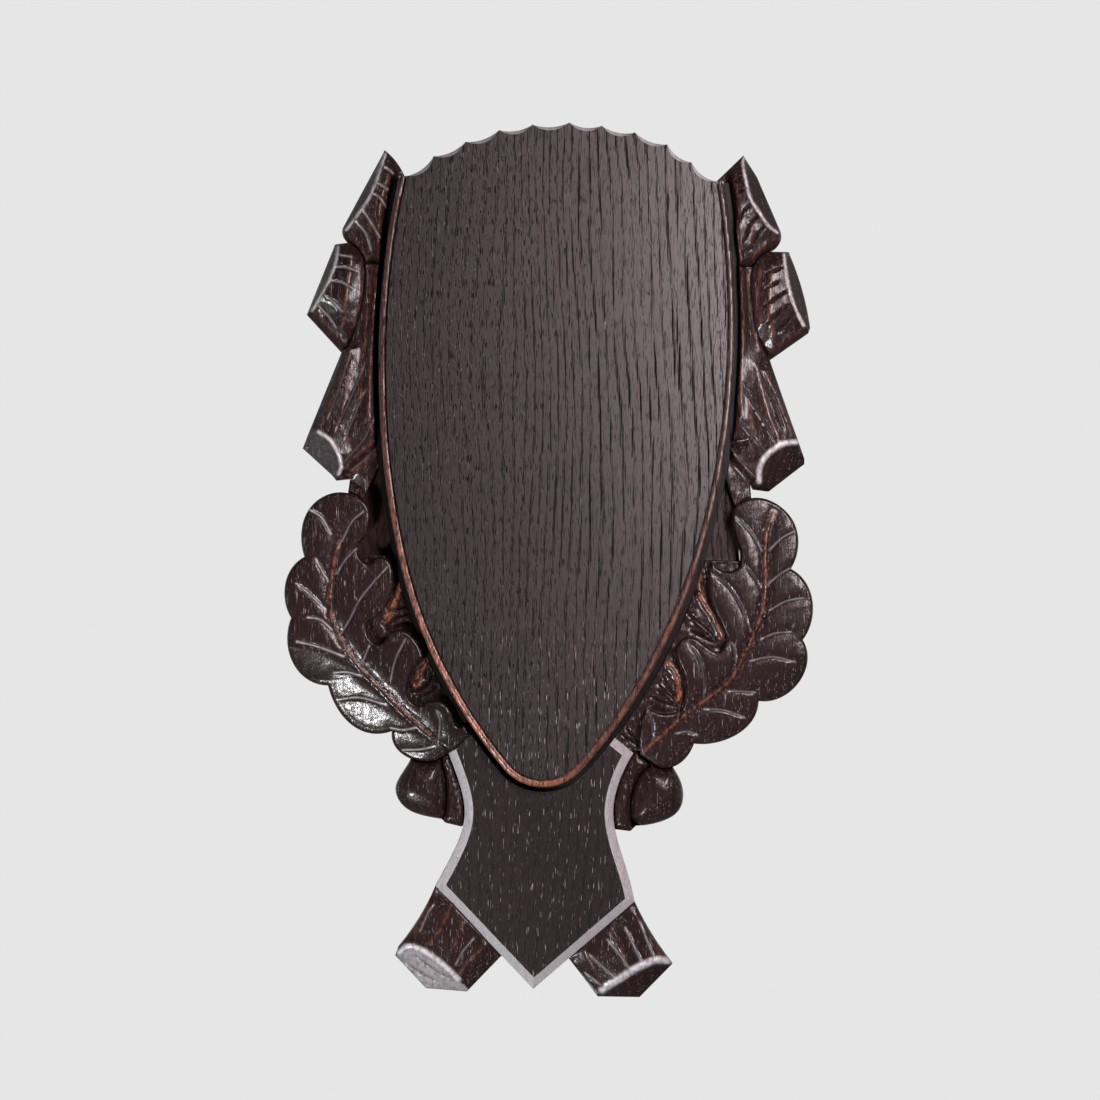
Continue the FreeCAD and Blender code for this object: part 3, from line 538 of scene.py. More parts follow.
def facets(points, loop, name):
    """Height between the ridges and the edge, as flat facets between the lines given."""
    edge = refined(loop, FACET_EDGE_STEP)
    edge_heights = edge_levels(edge, np.array(EDGES[name], float))
    plan, heights, sides = [tuple(p) for p in edge], list(edge_heights), []
    for line in RIDGES[name]:
        first = len(plan)
        line = np.array(line, float)
        path = path_points(line, FACET_LINE_STEP)
        _, place, _ = nearest(line[:, :2], path)
        _, along, _ = nearest(path, path)
        plan += [tuple(p) for p in path]
        heights += list(np.interp(along, place, line[:, 2]))
        sides += [(i, i + 1) for i in range(first, len(plan) - 1)]
    rim = [(i, (i + 1) % len(edge)) for i in range(len(edge))]
    corners = [Vector(p) for p in plan]
    verts, _, faces, origin, *_ = delaunay_2d_cdt(corners, rim + sides, [], INSIDE_OUTLINE, 1e-3)
    flat = np.array([tuple(v) for v in verts])
    tall = np.array([np.mean([heights[i] for i in o]) if o else np.nan for o in origin])
    known = ~np.isnan(tall)
    for i in np.where(~known)[0]:
        tall[i] = tall[known][((flat[known] - flat[i]) ** 2).sum(1).argmin()]
    result = np.full(len(points), np.nan)
    for a, b, c in faces:
        pa, pb, pc = flat[a], flat[b], flat[c]
        det = (pb[0] - pa[0]) * (pc[1] - pa[1]) - (pc[0] - pa[0]) * (pb[1] - pa[1])
        if abs(det) < TINY:
            continue
        d = points - pa
        v = (d[:, 0] * (pc[1] - pa[1]) - (pc[0] - pa[0]) * d[:, 1]) / det
        w = ((pb[0] - pa[0]) * d[:, 1] - d[:, 0] * (pb[1] - pa[1])) / det
        hit = (v >= -1e-6) & (w >= -1e-6) & (v + w <= 1 + 1e-6) & np.isnan(result)
        result[hit] = tall[a] + v[hit] * (tall[b] - tall[a]) + w[hit] * (tall[c] - tall[a])
    lost = np.isnan(result)
    if lost.any():
        nearby = ((points[lost][:, None] - edge[None]) ** 2).sum(2).argmin(1)
        result[lost] = edge_heights[nearby]
    return result


def relaxed(heights, faces, free, rounds):
    """Heights evened out with their neighbours', a little more with each round."""
    pairs = np.array([pair for f in faces for pair in pairs_round(f)])
    for _ in range(rounds):
        total = np.zeros(len(heights))
        count = np.zeros(len(heights))
        np.add.at(total, pairs[:, 0], heights[pairs[:, 1]])
        np.add.at(count, pairs[:, 0], 1)
        even = total / np.maximum(count, 1)
        heights = np.where(free, (1 - EVENNESS) * heights + EVENNESS * even, heights)
    return heights


def plan_mesh(loop, cuts, spacing):
    """Points and triangles in plan: rows along the outline, lines along the strokes, a grid between."""
    inward = np.roll(loop, -1, axis=0) - np.roll(loop, 1, axis=0)
    inward = np.stack([-inward[:, 1], inward[:, 0]], 1)
    inward /= np.maximum(np.linalg.norm(inward, axis=1), TINY)[:, None]
    rings = []
    for inset in RING_INSETS:
        ring = loop + inward * inset
        clear = nearest(ring, loop, True)[0] > RING_NEARNESS * inset
        rings.append(ring[clear & inside(ring, loop)])
    settled = thinned(np.vstack(rings), RING_GAP)
    low, high = loop.min(0), loop.max(0)
    across, up = np.meshgrid(np.arange(low[0], high[0], spacing),
                             np.arange(low[1], high[1], spacing * GRID_ROW))
    across[1::2] += spacing / 2
    grid = np.stack([across.ravel(), up.ravel()], 1)
    grid = grid[inside(grid, loop)]
    grid = grid[nearest(grid, loop, True)[0] > GRID_MARGIN]
    if cuts:
        strokes = np.vstack([c.guides() for c in cuts])
        strokes = strokes[inside(strokes, loop) & (nearest(strokes, loop, True)[0] > STROKE_MARGIN)]
        strokes = thinned(strokes, STROKE_GAP)
        taken = {cell_of(p, STROKE_CELL) for p in strokes}
        grid = np.array([p for p in grid if cell_of(p, STROKE_CELL) not in taken])
        settled = np.vstack([settled, strokes])
    return triangulated(loop, np.vstack([settled, grid]))


def closed_mesh(name, plan, faces, heights):
    """A mesh with the relief in front, straight walls and a flat back, and its border in plan."""
    mesh = bpy.data.meshes.new(name)
    front = [(x * MM, -(BOARD + h) * MM, (z - DATUM) * MM) for (x, z), h in zip(plan, heights)]
    border = {}
    for face in faces:
        for a, b in pairs_round(face):
            if (b, a) in border:
                del border[(b, a)]
            else:
                border[(a, b)] = True
    rim = sorted({i for pair in border for i in pair})
    under = {i: len(front) + k for k, i in enumerate(rim)}
    back = [(plan[i][0] * MM, -BOARD * MM, (plan[i][1] - DATUM) * MM) for i in rim]
    if sum(plan[a][0] * plan[b][1] - plan[b][0] * plan[a][1] for a, b in border) < 0:
        faces = [f[::-1] for f in faces]
        border = {(b, a): True for a, b in border}
    walls = [(b, a, under[a], under[b]) for a, b in border]
    ring = tuple(under[i] for i in followed(dict(border.keys())))
    mesh.from_pydata(front + back, [], faces + walls + [ring[::-1]])
    mesh.validate()
    mesh.update()
    return mesh, len(rim)


def relief(name, height, cuts=(), spacing=1.0, arris=1.3, rounds=2):
    """A carved piece standing on the back board, with the outline of the node that it replaces."""
    loop = refined(footprint(name), OUTLINE_STEP)
    plan, faces = plan_mesh(loop, cuts, spacing)
    edge_distance = nearest(plan, loop, True)[0]
    level, wear, painted_highlight = height(plan, edge_distance, loop)
    level = relaxed(level, faces, edge_distance > 1e-3, rounds)
    for cut in cuts:
        level -= cut.at(plan)
    level = np.maximum(level - eased(edge_distance, arris), LOWEST)

    mesh, rim_count = closed_mesh(f"{name}_carved", plan, faces, level)
    # The "rim" attribute carries the painted highlights of rims, sawn faces, gouges and veins.
    for attribute, values in (("wear", wear), ("rim", painted_highlight)):
        layer = mesh.attributes.new(attribute, "FLOAT", "POINT")
        layer.data.foreach_set("value", np.concatenate([values, np.zeros(rim_count)]))
    mesh.polygons.foreach_set("use_smooth", [True] * len(mesh.polygons))
    mesh.set_sharp_from_angle(angle=CREASE_ANGLE)
    piece = bpy.data.objects.new(f"{name}_carved", mesh)
    bpy.context.scene.collection.objects.link(piece)
    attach(piece, "root")
    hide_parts(name)
    return piece


# ---------------------------------------------------------------- the carved pieces
# Which of each piece's ridges is the rim of its sawn end, how wide the painted highlight along that rim is,
# and how strong the painted highlight on the sawn face and on the gouges' strokes is.
RIM_HIGHLIGHTS = {
    "left_upper_stub": (0, 0.8, 0.0, 0.5), "left_middle_stub": (0, 0.8, 0.0, 0.5),
    "left_trunk": (4, 1.0, 0.08, 0.15), "right_upper_stub": (0, 0.7, 0.0, 0.0),
    "right_middle_stub": (0, 0.7, 0.0, 0.0), "right_trunk": (5, 1.4, 0.0, 0.1),
    "left_foot_stub": (0, 1.6, 0.45, 0.4), "right_foot_stub": (0, 2.0, 0.0, 0.6),
}

RIDGE_HEIGHT, RIDGE_WIDTH = 0.45, 0.8
RIDGE_WEAR, RIDGE_WEAR_WIDTH = 0.3, 0.9
SAWN_FACE = 17  # how far a sawn face reaches from its rim
# width of the painted highlight along each gouge stroke
STROKE_HIGHLIGHT_WIDTH = 0.5


def bark(name, seed):
    number, rim_highlight_width, face_highlight, stroke_highlight = RIM_HIGHLIGHTS[name]
    rim = path_points(RIDGES[name][number])

    def height(plan, edge_distance, loop):
        level = facets(plan, loop, name) + 0.10 * waviness(plan, 10, seed)
        ridge = np.min([off_line(plan, line) for line in RIDGES[name]], axis=0)
        level += RIDGE_HEIGHT * hill(ridge, RIDGE_WIDTH)
        from_rim, _, turn = nearest(plan, rim)
        # Painted highlights as pale colour: a line along the sawn rim, on the sawn face, and along the
        # gouges' strokes.
        painted_highlight = hill(from_rim, rim_highlight_width, 4)
        painted_highlight = np.maximum(painted_highlight, face_highlight * ((turn < 0) & (from_rim < SAWN_FACE)))
        for path in GOUGES[name]:
            painted_highlight = np.maximum(painted_highlight, stroke_highlight * hill(off_line(plan, path), STROKE_HIGHLIGHT_WIDTH))
        return level, RIDGE_WEAR * hill(ridge, RIDGE_WEAR_WIDTH), painted_highlight
    return height


LEAF_LEVEL = 15.0
LEAF_EDGE_FALL, LEAF_EDGE_REACH = 1.3, 5
LEAF_LEAN = {"left": 0.29, "right": 0.08}  # outward slope of the lower outer lobes
LEAN_START, LEAN_REACH = 52, 18  # below the datum
STEM_START, STEM_REACH, STEM_FALL, STEM_CURVE = 62, 50, 3.2, 1.4
RIB_HOLLOW, RIB_HOLLOW_WIDTH = 1.3, 5
RIB_HEIGHT, RIB_HALF, RIB_WEAR_HALF = 1.2, 1.3, 1.5
RIB_GROOVE, RIB_GROOVE_PLACE, RIB_GROOVE_WIDTH = 0.9, 1.9, 0.5
VEIN_HOLLOW, VEIN_HOLLOW_WIDTH = 0.35, 3
# how strong the painted highlight along the veins is, stronger on the left leaf
VEIN_HIGHLIGHT = {"left": 0.8, "right": 0.35}
VEIN_HIGHLIGHT_WIDTH = 0.45
OUTER_VEINS = 9  # the first of each leaf's veins; the rest get a fainter painted highlight
LIP, LIP_PLACE, LIP_WIDTH = 0.5, 1.4, 0.7  # raised line along the leaf's edge


def leaf(side, seed):
    rib = path_points(RIBS[side])
    outward = -1 if side == "left" else 1

    def height(plan, edge_distance, loop):
        distance, place, turn = nearest(plan, rib)
        level = LEAF_LEVEL - LEAF_EDGE_FALL * np.clip(1 - edge_distance / LEAF_EDGE_REACH, 0, 1) ** 2
        low = np.clip((-plan[:, 1] - LEAN_START) / LEAN_REACH, 0, 1)
        level -= LEAF_LEAN[side] * low * distance * (turn * outward > 0)
        level -= RIB_HOLLOW * hill(distance, RIB_HOLLOW_WIDTH)
        level -= STEM_FALL * np.clip((-plan[:, 1] - STEM_START) / STEM_REACH, 0, 1) ** STEM_CURVE
        gaps = [off_line(plan, vein) for vein in VEINS[side]]
        # Painted highlights along the veins, as pale colour.
        painted_highlight = np.zeros(len(plan))
        for number, gap in enumerate(gaps):
            vein_highlight = VEIN_HIGHLIGHT[side] * (1 if number < OUTER_VEINS else 0.4)
            painted_highlight = np.maximum(painted_highlight, vein_highlight * hill(gap, VEIN_HIGHLIGHT_WIDTH))
        level -= VEIN_HOLLOW * hill(np.min(gaps, axis=0), VEIN_HOLLOW_WIDTH)
        ends = np.clip(np.minimum(place + 0.02, 1.02 - place) / 0.12, 0, 1)
        level += RIB_HEIGHT * ends * np.sqrt(np.clip(1 - (distance / RIB_HALF) ** 2, 0, 1))
        level -= RIB_GROOVE * ends * hill(distance - RIB_GROOVE_PLACE, RIB_GROOVE_WIDTH)
        level += LIP * hill(edge_distance - LIP_PLACE, LIP_WIDTH) + 0.06 * waviness(plan, 7, seed)
        wear = 0.6 * np.clip(1 - distance / RIB_WEAR_HALF, 0, 1)
        return level, wear, painted_highlight
    return height


UNDER_LEAF_LEVEL = 6.6
FOLD_HEIGHT, FOLD_TOP, FOLD_HALF = 1.9, 1.6, 1.7


def under_leaf(side, seed):
    def height(plan, edge_distance, loop):
        level = UNDER_LEAF_LEVEL + 0.25 * waviness(plan, 6, seed)
        wear = np.zeros(len(plan))
        for fold in FOLDS[side]:
            raised = np.clip(FOLD_TOP - off_line(plan, fold) / FOLD_HALF, 0, 1)
            level += FOLD_HEIGHT * raised
            wear = np.maximum(wear, raised)
        return level, wear, np.zeros(len(plan))
    return height


def rounded(foot, rise, reach, unevenness, seed):
    """A domed piece: its height at the edge, its rise to the crown, and how far in the crown starts."""
    def height(plan, edge_distance, loop):
        fill = np.clip(edge_distance / reach, 0, 1)
        level = foot + rise * np.sqrt(1 - (1 - fill) ** 2) + unevenness * waviness(plan, 5, seed)
        return level, np.zeros(len(plan)), np.zeros(len(plan))
    return height


carved = []
for seed, name in enumerate(RIDGES):
    strokes = [Cut(path, 1.1, 1.0) for path in GOUGES[name]]
    carved.append(relief(name, bark(name, seed * 10), strokes, spacing=1.1, arris=0.9, rounds=1))
for seed, side in enumerate(("left", "right")):
    veins = [Cut(path, 1.1, 1.15, ends=0.3) for path in VEINS[side]]
    veins.append(Cut(RIBS[side], 0.0, 2.1))  # cuts nothing, but gives the rib points of its own
    carved.append(relief(f"{side}_oak_leaf", leaf(side, 100 + seed), veins, spacing=0.95, arris=1.2,
                         rounds=1))
    fans = [Cut(path, 1.5, 1.1, ends=0.2) for path in FANS[side]]
    carved.append(relief(f"{side}_under_leaf", under_leaf(side, 110 + seed), fans, arris=0.8, rounds=1))
    carved.append(relief(f"{side}_acorn", rounded(3.5, 10.3, 13, 0.12, 120 + seed), spacing=0.9, arris=1.0))
    carved.append(relief(f"{side}_twig", rounded(3.4, 4.6, 4.5, 0.2, 130 + seed), spacing=0.9, arris=0.8))


# ---------------------------------------------------------------- materials
class Nodes:
    """Small help for wiring a node tree: makes nodes, and sets or links their inputs."""

    def __init__(self, tree):
        self.tree = tree
        tree.nodes.clear()

    def give(self, target, value):
        if isinstance(value, bpy.types.NodeSocket):
            self.tree.links.new(value, target)
        else:
            target.default_value = value

    def add(self, kind, inputs=(), **settings):
        made = self.tree.nodes.new(kind)
        for key, value in settings.items():
            setattr(made, key, value)
        for socket, value in dict(inputs).items():
            self.give(made.inputs[socket], value)
        return made

    def maths(self, operation, *values):
        return self.add("ShaderNodeMath", dict(enumerate(values)), operation=operation).outputs[0]

    def product(self, *values):
        total = values[0]
        for value in values[1:]:
            total = self.maths("MULTIPLY", total, value)
        return total

    def swayed(self, fac, reach):
        """A noise between 0 and 1 as a distance to either side."""
        return self.product(self.maths("SUBTRACT", fac, 0.5), reach)

    def ranged(self, value, low, high, to_low=0.0, to_high=1.0):
        """Smooth step of a value from low..high to to_low..to_high."""
        limits = {"Value": value, "From Min": low, "From Max": high, "To Min": to_low, "To Max": to_high}
        return self.add("ShaderNodeMapRange", limits, interpolation_type="SMOOTHSTEP").outputs["Result"]

    def mixed(self, part, first, second):
        blend = self.add("ShaderNodeMix", {"Factor": part}, data_type="RGBA")
        self.give(blend.inputs[6], first)
        self.give(blend.inputs[7], second)
        return blend.outputs[2]

    def noise(self, place, stretch, detail=2.0, roughness=0.5):
        mapped = self.add("ShaderNodeMapping", {"Vector": place, "Scale": stretch}).outputs[0]
        return self.add("ShaderNodeTexNoise", {"Vector": mapped, "Scale": 1.0, "Detail": detail,
                                               "Roughness": roughness}).outputs["Fac"]

    def split(self, vector):
        return self.add("ShaderNodeSeparateXYZ", {"Vector": vector}).outputs

    def bump(self, height):
        return self.add("ShaderNodeBump", {"Strength": 1.0, "Distance": MM, "Height": height}).outputs[0]

    def surface(self, inputs):
        shader = self.add("ShaderNodeBsdfPrincipled", inputs)
        self.add("ShaderNodeOutputMaterial", {"Surface": shader.outputs[0]})


def new_material(name):
    material = bpy.data.materials.new(name)
    material.use_nodes = True
    return material, Nodes(material.node_tree)


STAIN = (0.0038, 0.0016, 0.0018, 1)
STAIN_LIGHT = (0.0105, 0.0048, 0.0050, 1)
DEEP = (0.0035, 0.0016, 0.0018, 1)
DEEP_RED = (0.016, 0.0050, 0.0048, 1)
BOARD_RED = (0.030, 0.0095, 0.0085, 1)
# red of rubbed ridges and bead, also carrying the painted highlight at the bead's lower left
RUBBED_AND_HIGHLIT = (0.22, 0.075, 0.042, 1)
# pale colour of the painted highlights on rims, sawn faces, gouges and veins, and of the painted reflection
# on bevels
PAINTED_PALE_HIGHLIGHT = (0.38, 0.37, 0.39, 1)
WAX = (0.26, 0.22, 0.22, 1)
# black of open pores, also the painted shade in the groove beside the bead
PORE_AND_SHADE = (0.002, 0.0012, 0.0012, 1)

PER_METRE = 1000  # millimetres
GRAIN_TILT = 0.017  # radians
RING_BEND, RING_KINK = 46.0, 2.4  # how far the growth rings wander, in millimetres
EARLY_WOOD = 0.4  # its place in each ring
CROWN_LEVEL = 0.031  # the scallops start above this, and below it the face's edge is the bead
WAX_LEVEL = -0.23
EVERYWHERE = -1.0, 1.0  # heights below and above the whole object
PORE_DEPTH, PORE_DENT = 0.38, 0.22  # in the wood and in its varnish, in millimetres
OAK_ROUGHNESS, PORE_ROUGHNESS = 0.38, 0.3


def grain(n, place, ring_pitch, open_grain):
    """Open pores, early wood, fibre and cloudiness of ring-porous oak."""
    across_face = n.split(place)["X"]
    bend = n.swayed(n.noise(place, (0.010, 0.03, 0.0035), detail=1.5), RING_BEND)
    kink = n.swayed(n.noise(place, (0.08, 0.08, 0.04)), RING_KINK)
    across = n.maths("ADD", n.maths("ADD", across_face, bend), kink)
    ring = n.maths("FRACT", n.maths("DIVIDE", across, ring_pitch))
    from_early = n.maths("ABSOLUTE", n.maths("SUBTRACT", ring, EARLY_WOOD))
    early = n.maths("SUBTRACT", 1.0, n.ranged(from_early, 0.04, 0.3))

    # long open vessels in the early wood of each ring, and short ones all over
    vessels = n.noise(place, (1.7, 1.7, 0.03), detail=1.5)
    long_pores = n.ranged(n.maths("MULTIPLY_ADD", early, 0.25, vessels), 0.73, 0.80)
    dashes = n.noise(place, (1.85, 1.85, 0.17), detail=1.5)
    short_pores = n.ranged(n.maths("MULTIPLY_ADD", early, 0.06, dashes), 0.57, 0.65)
    long_share = n.ranged(across_face, -45.0, 25.0, 0.55, 1.0)
    short_share = n.ranged(across_face, -30.0, 45.0, 0.95, 0.6)
    pores = n.maths("MAXIMUM", n.product(long_pores, long_share), n.product(short_pores, short_share))
    fibre = n.noise(place, (3.2, 3.2, 0.22), detail=3.0, roughness=0.65)
    cloud = n.noise(place, (0.02, 0.02, 0.008))
    return n.product(pores, open_grain), early, fibre, cloud


def carving_wear_and_highlights(n, place, colour):
    """Ridges rubbed redder, and pale painted highlights on sawn rims, sawn faces, gouges and veins, by the
    mesh's own attributes.
    """
    rubbed = n.add("ShaderNodeAttribute", attribute_name="wear").outputs["Fac"]
    # the "rim" attribute holds the painted highlights
    painted_highlight = n.add("ShaderNodeAttribute", attribute_name="rim").outputs["Fac"]
    speck = n.noise(place, (0.45, 0.45, 0.3), detail=3.0)
    colour = n.mixed(n.product(rubbed, n.ranged(speck, 0.38, 0.62), 0.75), colour, RUBBED_AND_HIGHLIT)
    return n.mixed(n.product(painted_highlight, n.ranged(speck, 0.3, 0.6, 0.5, 0.95)), colour, PAINTED_PALE_HIGHLIGHT)


def bead_wear_highlight_and_shade(n, whole, place, colour, pores):
    """The bead rubbed redder, with a painted highlight that makes it brightest at the lower left, and
    painted shade that makes the groove beside it black.
    """
    spot = n.split(whole)
    depth = n.product(spot["Y"], -PER_METRE)
    level = n.product(spot["Z"], PER_METRE)
    on_bead = n.product(n.ranged(depth, 26.5, 29.5), n.ranged(depth, 33.4, 32.9))
    below_crown = n.ranged(level, 32.0, 30.0)
    # Painted highlight: the rubbed colour grows toward the bottom and the left, where the bead catches the
    # low left light.
    low = n.ranged(level, -60.0, -290.0, 0.12, 1.0)
    leftward_highlight = n.ranged(n.product(spot["X"], PER_METRE), 30.0, -20.0, 0.35, 1.0)
    speck = n.noise(place, (0.7, 0.7, 0.25), detail=3.0, roughness=0.7)
    rub_and_highlight = n.product(on_bead, below_crown, n.ranged(speck, 0.35, 0.62, 0.1, 1.0), low, leftward_highlight)
    # Painted shade: the groove's floor is coloured black, and dented and dulled like a pore.
    groove_shade = n.ranged(depth, 24.0, 21.5)
    colour = n.mixed(groove_shade, n.mixed(rub_and_highlight, colour, RUBBED_AND_HIGHLIT), PORE_AND_SHADE)
    return colour, n.maths("MAXIMUM", pores, n.product(groove_shade, 0.85))


def oak(name, shift, ring_pitch, stain, stain_light, coat, coat_rough, wear=None, open_grain=1.0,
        painted_reflection_above=None, wax_below=None, stipple=0.0, gloss=0.12):
    """Dark stained, varnished ring-porous oak with its grain up and down.

    Bevels that lie higher than the level passed for the painted reflection get a pale painted reflection,
    paler than the faces, and below `wax_below` there are fine dashes of pale wax in the grain.
    """
    material, n = new_material(name)
    whole = n.add("ShaderNodeTexCoord").outputs["Object"]
    place = n.add("ShaderNodeMapping", {"Vector": whole, "Location": shift, "Rotation": (0, GRAIN_TILT, 0),
                                        "Scale": (PER_METRE,) * 3}).outputs[0]
    height_up = n.split(whole)["Z"]
    pores, early, fibre, cloud = grain(n, place, ring_pitch, open_grain)
    tint = n.maths("MULTIPLY_ADD", fibre, 0.7, n.product(cloud, 0.4))
    colour = n.mixed(n.ranged(tint, 0.35, 0.8), stain, stain_light)
    colour = n.mixed(n.product(pores, 0.9), colour, PORE_AND_SHADE)
    if wax_below is not None:
        strands = n.noise(place, (2.8, 2.8, 0.12), detail=1.0)
        dashes = n.ranged(n.maths("MULTIPLY_ADD", early, 0.06, strands), 0.71, 0.76)
        lower = n.ranged(height_up, wax_below + 0.05, wax_below - 0.05)
        colour = n.mixed(n.product(dashes, lower, min(1.0, open_grain + 0.25)), colour, WAX)
    # Wear, with painted highlights on the carvings, and with a painted highlight and painted shade on the
    # bead.
    if wear == "carved":
        colour = carving_wear_and_highlights(n, place, colour)
    elif wear == "bead":
        colour, pores = bead_wear_highlight_and_shade(n, whole, place, colour, pores)

    coating = coat
    # Painted reflection: bevels that tilt away from the front, above the given level, are coloured pale as
    # if they mirrored the bright room beside the object, and get more coat.
    if painted_reflection_above is not None:
        tilt = n.split(n.add("ShaderNodeNewGeometry").outputs["True Normal"])["Y"]
        bevel_reflection = n.product(n.ranged(tilt, -0.9, -0.8), n.ranged(tilt, -0.08, -0.2),
                             n.ranged(height_up, painted_reflection_above, painted_reflection_above + 0.002))
        colour = n.mixed(n.product(bevel_reflection, n.ranged(fibre, 0.3, 0.6, 0.45, 0.85)), colour, PAINTED_PALE_HIGHLIGHT)
        coating = n.maths("MULTIPLY_ADD", bevel_reflection, 1.0 - coat, coat)
    wood = n.bump(n.maths("ADD", n.product(pores, -PORE_DEPTH), n.product(fibre, 0.06)))
    dots = n.product(n.noise(place, (0.75, 0.75, 0.75)), stipple)
    film = n.bump(n.maths("MULTIPLY_ADD", fibre, 0.02, n.maths("MULTIPLY_ADD", pores, -PORE_DENT, dots)))
    n.surface({
        "Base Color": colour, "Normal": wood, "IOR": 1.5, "Specular IOR Level": gloss,
        "Roughness": n.maths("MULTIPLY_ADD", pores, PORE_ROUGHNESS, OAK_ROUGHNESS),
        "Coat Weight": n.product(n.maths("SUBTRACT", 1.0, pores), coating),
        "Coat Roughness": coat_rough, "Coat IOR": 1.5, "Coat Normal": film})
    return material


def plated(name, dull, bright):
    """Plated steel, faintly spangled and a little scuffed."""
    material, n = new_material(name)
    place = n.add("ShaderNodeTexCoord").outputs["Object"]
    place = n.add("ShaderNodeMapping", {"Vector": place, "Scale": (PER_METRE,) * 3}).outputs[0]
    spangle = n.noise(place, (0.5, 0.5, 0.5), detail=4.0, roughness=0.6)
    scuff = n.noise(place, (0.15, 3.0, 2.0), detail=3.0)
    n.surface({
        "Base Color": n.mixed(n.ranged(spangle, 0.35, 0.65), dull, bright), "Metallic": 1.0,
        "Normal": n.bump(n.product(scuff, 0.02)),
        "Roughness": n.maths("MULTIPLY_ADD", scuff, 0.25, 0.25)})
    return material


face_look = dict(stain=STAIN, stain_light=STAIN_LIGHT, coat=0.95, coat_rough=0.36, wear="bead",
                 painted_reflection_above=CROWN_LEVEL, wax_below=WAX_LEVEL, gloss=0.06)
board_look = dict(stain=DEEP, stain_light=BOARD_RED, coat=0.1, coat_rough=0.4)
zinc = plated("zinc_steel", (0.46, 0.47, 0.48, 1), (0.60, 0.61, 0.62, 1))
yellow_zinc = plated("yellow_zinc", (0.34, 0.25, 0.12, 1), (0.50, 0.38, 0.20, 1))
finishes = {
    "panel_main_stave": oak("panel_oak_main", (0, 0, 0), 5.2, **face_look),
    "panel_right_stave": oak("panel_oak_right", (0.31, 0.02, 0.17), 5.8, **face_look),
    "tail_board": oak("tail_oak", (0.07, 0.05, 0.4), 5.5, STAIN, STAIN_LIGHT, coat=0.4, coat_rough=0.34,
                      open_grain=0.8, painted_reflection_above=EVERYWHERE[0], wax_below=WAX_LEVEL),
    "back_board_left": oak("board_oak_left", (0.5, 0.1, 0.3), 4.6, **board_look),
    "back_board_centre": oak("board_oak_centre", (0.9, 0.2, 0.6), 5.4, **board_look),
    "back_board_right": oak("board_oak_right", (1.3, 0.3, 0.1), 4.9, **board_look),
    "hanger_plate": zinc,
    "hanger_screws": yellow_zinc,
    "panel_screws": yellow_zinc,
}
carved_finish = oak("carved_oak", (0.11, 0.4, 0.9), 5.0, DEEP, DEEP_RED, coat=0.35, coat_rough=0.17,
                    wear="carved", open_grain=0.35, wax_below=EVERYWHERE[1], stipple=0.09, gloss=0.09)
for name, node in frame["nodes"].items():
    node.data.materials.clear()
    node.data.materials.append(finishes.get(name, carved_finish))
for piece in carved:
    piece.data.materials.append(carved_finish)


def softened(name, width):
    """Fine rounding along a kept node's arrises, as sanding and varnish leave them."""
    node = frame["nodes"][name]
    weld = node.modifiers.new("joined", "WELD")
    weld.merge_threshold = 0.01 * MM
    bevel = node.modifiers.new("arris", "BEVEL")
    bevel.width = width * MM
    bevel.segments = 2
    bevel.limit_method = "ANGLE"
    bevel.angle_limit = math.radians(30)


for name in ("panel_main_stave", "panel_right_stave", "tail_board"):
    softened(name, 0.45)
for name in ("back_board_left", "back_board_centre", "back_board_right"):
    softened(name, 0.6)


# ---------------------------------------------------------------- floor, light and camera
def card(name, place, aim, width, height, watts, colour=(1, 1, 1)):
    """A soft box of the given width and height, turned toward its aim."""
    light = bpy.data.lights.new(name, "AREA")
    light.shape = "RECTANGLE"
    light.size, light.size_y = width, height
    light.energy = watts
    light.color = colour
    holder = bpy.data.objects.new(name, light)
    holder.location = place
    holder.rotation_euler = (Vector(aim) - Vector(place)).to_track_quat("-Z", "Y").to_euler()
    holder.visible_camera = False
    bpy.context.scene.collection.objects.link(holder)


card("key_softbox", (0.30, -0.62, 0.04), aim=(0.07, 0, -0.04), width=0.20, height=0.42, watts=10.0,
     colour=(1.0, 0.86, 0.87))
card("low_left_softbox", (-0.50, -0.75, -0.70), aim=(-0.1, 0, -0.28), width=0.15, height=0.15, watts=12.0)

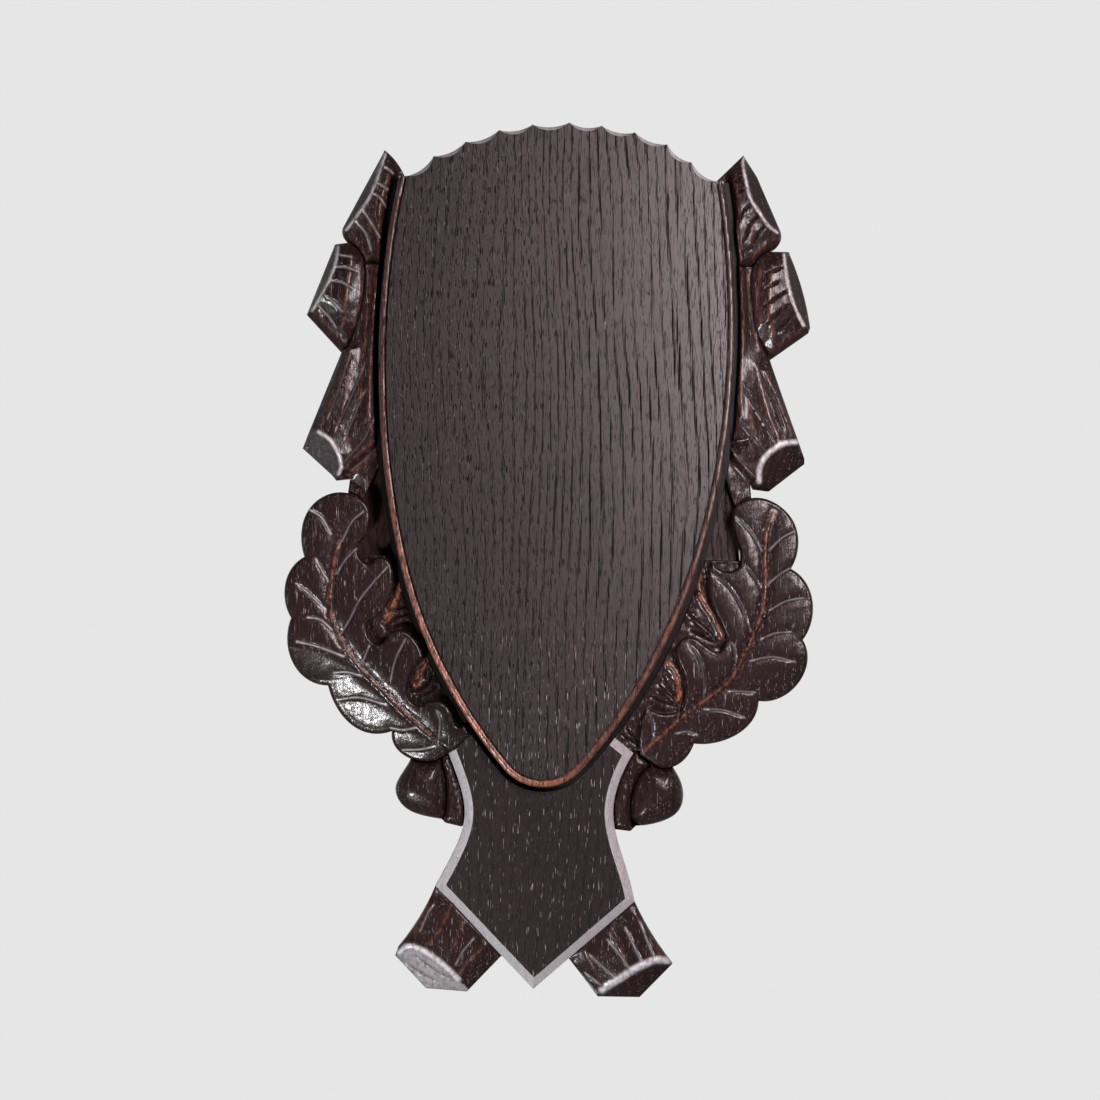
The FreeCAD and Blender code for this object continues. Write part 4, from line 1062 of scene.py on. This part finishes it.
FLOOR_LEVEL, FLOOR_HALF = -1.4, 6
floor_mesh = bpy.data.meshes.new("floor")
floor_mesh.from_pydata([(x * FLOOR_HALF, y * FLOOR_HALF, FLOOR_LEVEL)
                        for x, y in ((-1, -1), (1, -1), (1, 1), (-1, 1))], [], [(0, 1, 2, 3)])
floor = bpy.data.objects.new("floor", floor_mesh)
bpy.context.scene.collection.objects.link(floor)
paper, n = new_material("pale_floor")
grey = n.mixed(n.noise(n.add("ShaderNodeTexCoord").outputs["Object"], (2, 2, 2)),
               (0.74, 0.74, 0.74, 1), (0.78, 0.78, 0.78, 1))
n.surface({"Base Color": grey, "Roughness": 0.9})
floor_mesh.materials.append(paper)

# The camera sees an even pale backdrop. The object reflects a room that is dark in front and brighter
# beside and below it.
BACKDROP = 0.791  # comes out as the photo's 230 of 255
ROOM_FRONT = 0.014
ROOM_ABOVE, ROOM_BELOW = 0.3, 1.5
world = bpy.data.worlds.new("studio")
bpy.context.scene.world = world
world.use_nodes = True
n = Nodes(world.node_tree)
facing = n.split(n.add("ShaderNodeTexCoord").outputs["Generated"])
beside = n.ranged(facing["Y"], -0.38, -0.08)
from_below = n.ranged(facing["Z"], 0.35, -0.35, ROOM_ABOVE, ROOM_BELOW)
room = n.maths("MULTIPLY_ADD", beside, from_below, ROOM_FRONT)
seen = n.add("ShaderNodeLightPath").outputs["Is Camera Ray"]
strength = n.maths("ADD", n.product(room, n.maths("SUBTRACT", 1.0, seen)), n.product(seen, BACKDROP))
sky = n.add("ShaderNodeBackground", {"Color": (1, 1, 1, 1), "Strength": strength})
n.add("ShaderNodeOutputWorld", {"Surface": sky.outputs[0]})
bpy.context.scene.view_settings.view_transform = "Standard"

ROLL = math.radians(1)
CAMERA_DISTANCE = 3.2
FACE_DEPTH = 0.02
VIEW_WIDTH = 0.6292  # at the face
SENSOR = 36
camera_data = bpy.data.cameras.new("camera")
camera_data.sensor_width = SENSOR
camera_data.lens = SENSOR * (CAMERA_DISTANCE - FACE_DEPTH) / VIEW_WIDTH
camera = bpy.data.objects.new("camera", camera_data)
camera.location = (0.0002, -CAMERA_DISTANCE, -0.1787)
camera.rotation_euler = Matrix(((math.cos(ROLL), -math.sin(ROLL), 0),
                                (0, 0, -1),
                                (math.sin(ROLL), math.cos(ROLL), 0))).to_euler()
bpy.context.scene.collection.objects.link(camera)
bpy.context.scene.camera = camera

bpy.context.view_layer.update()
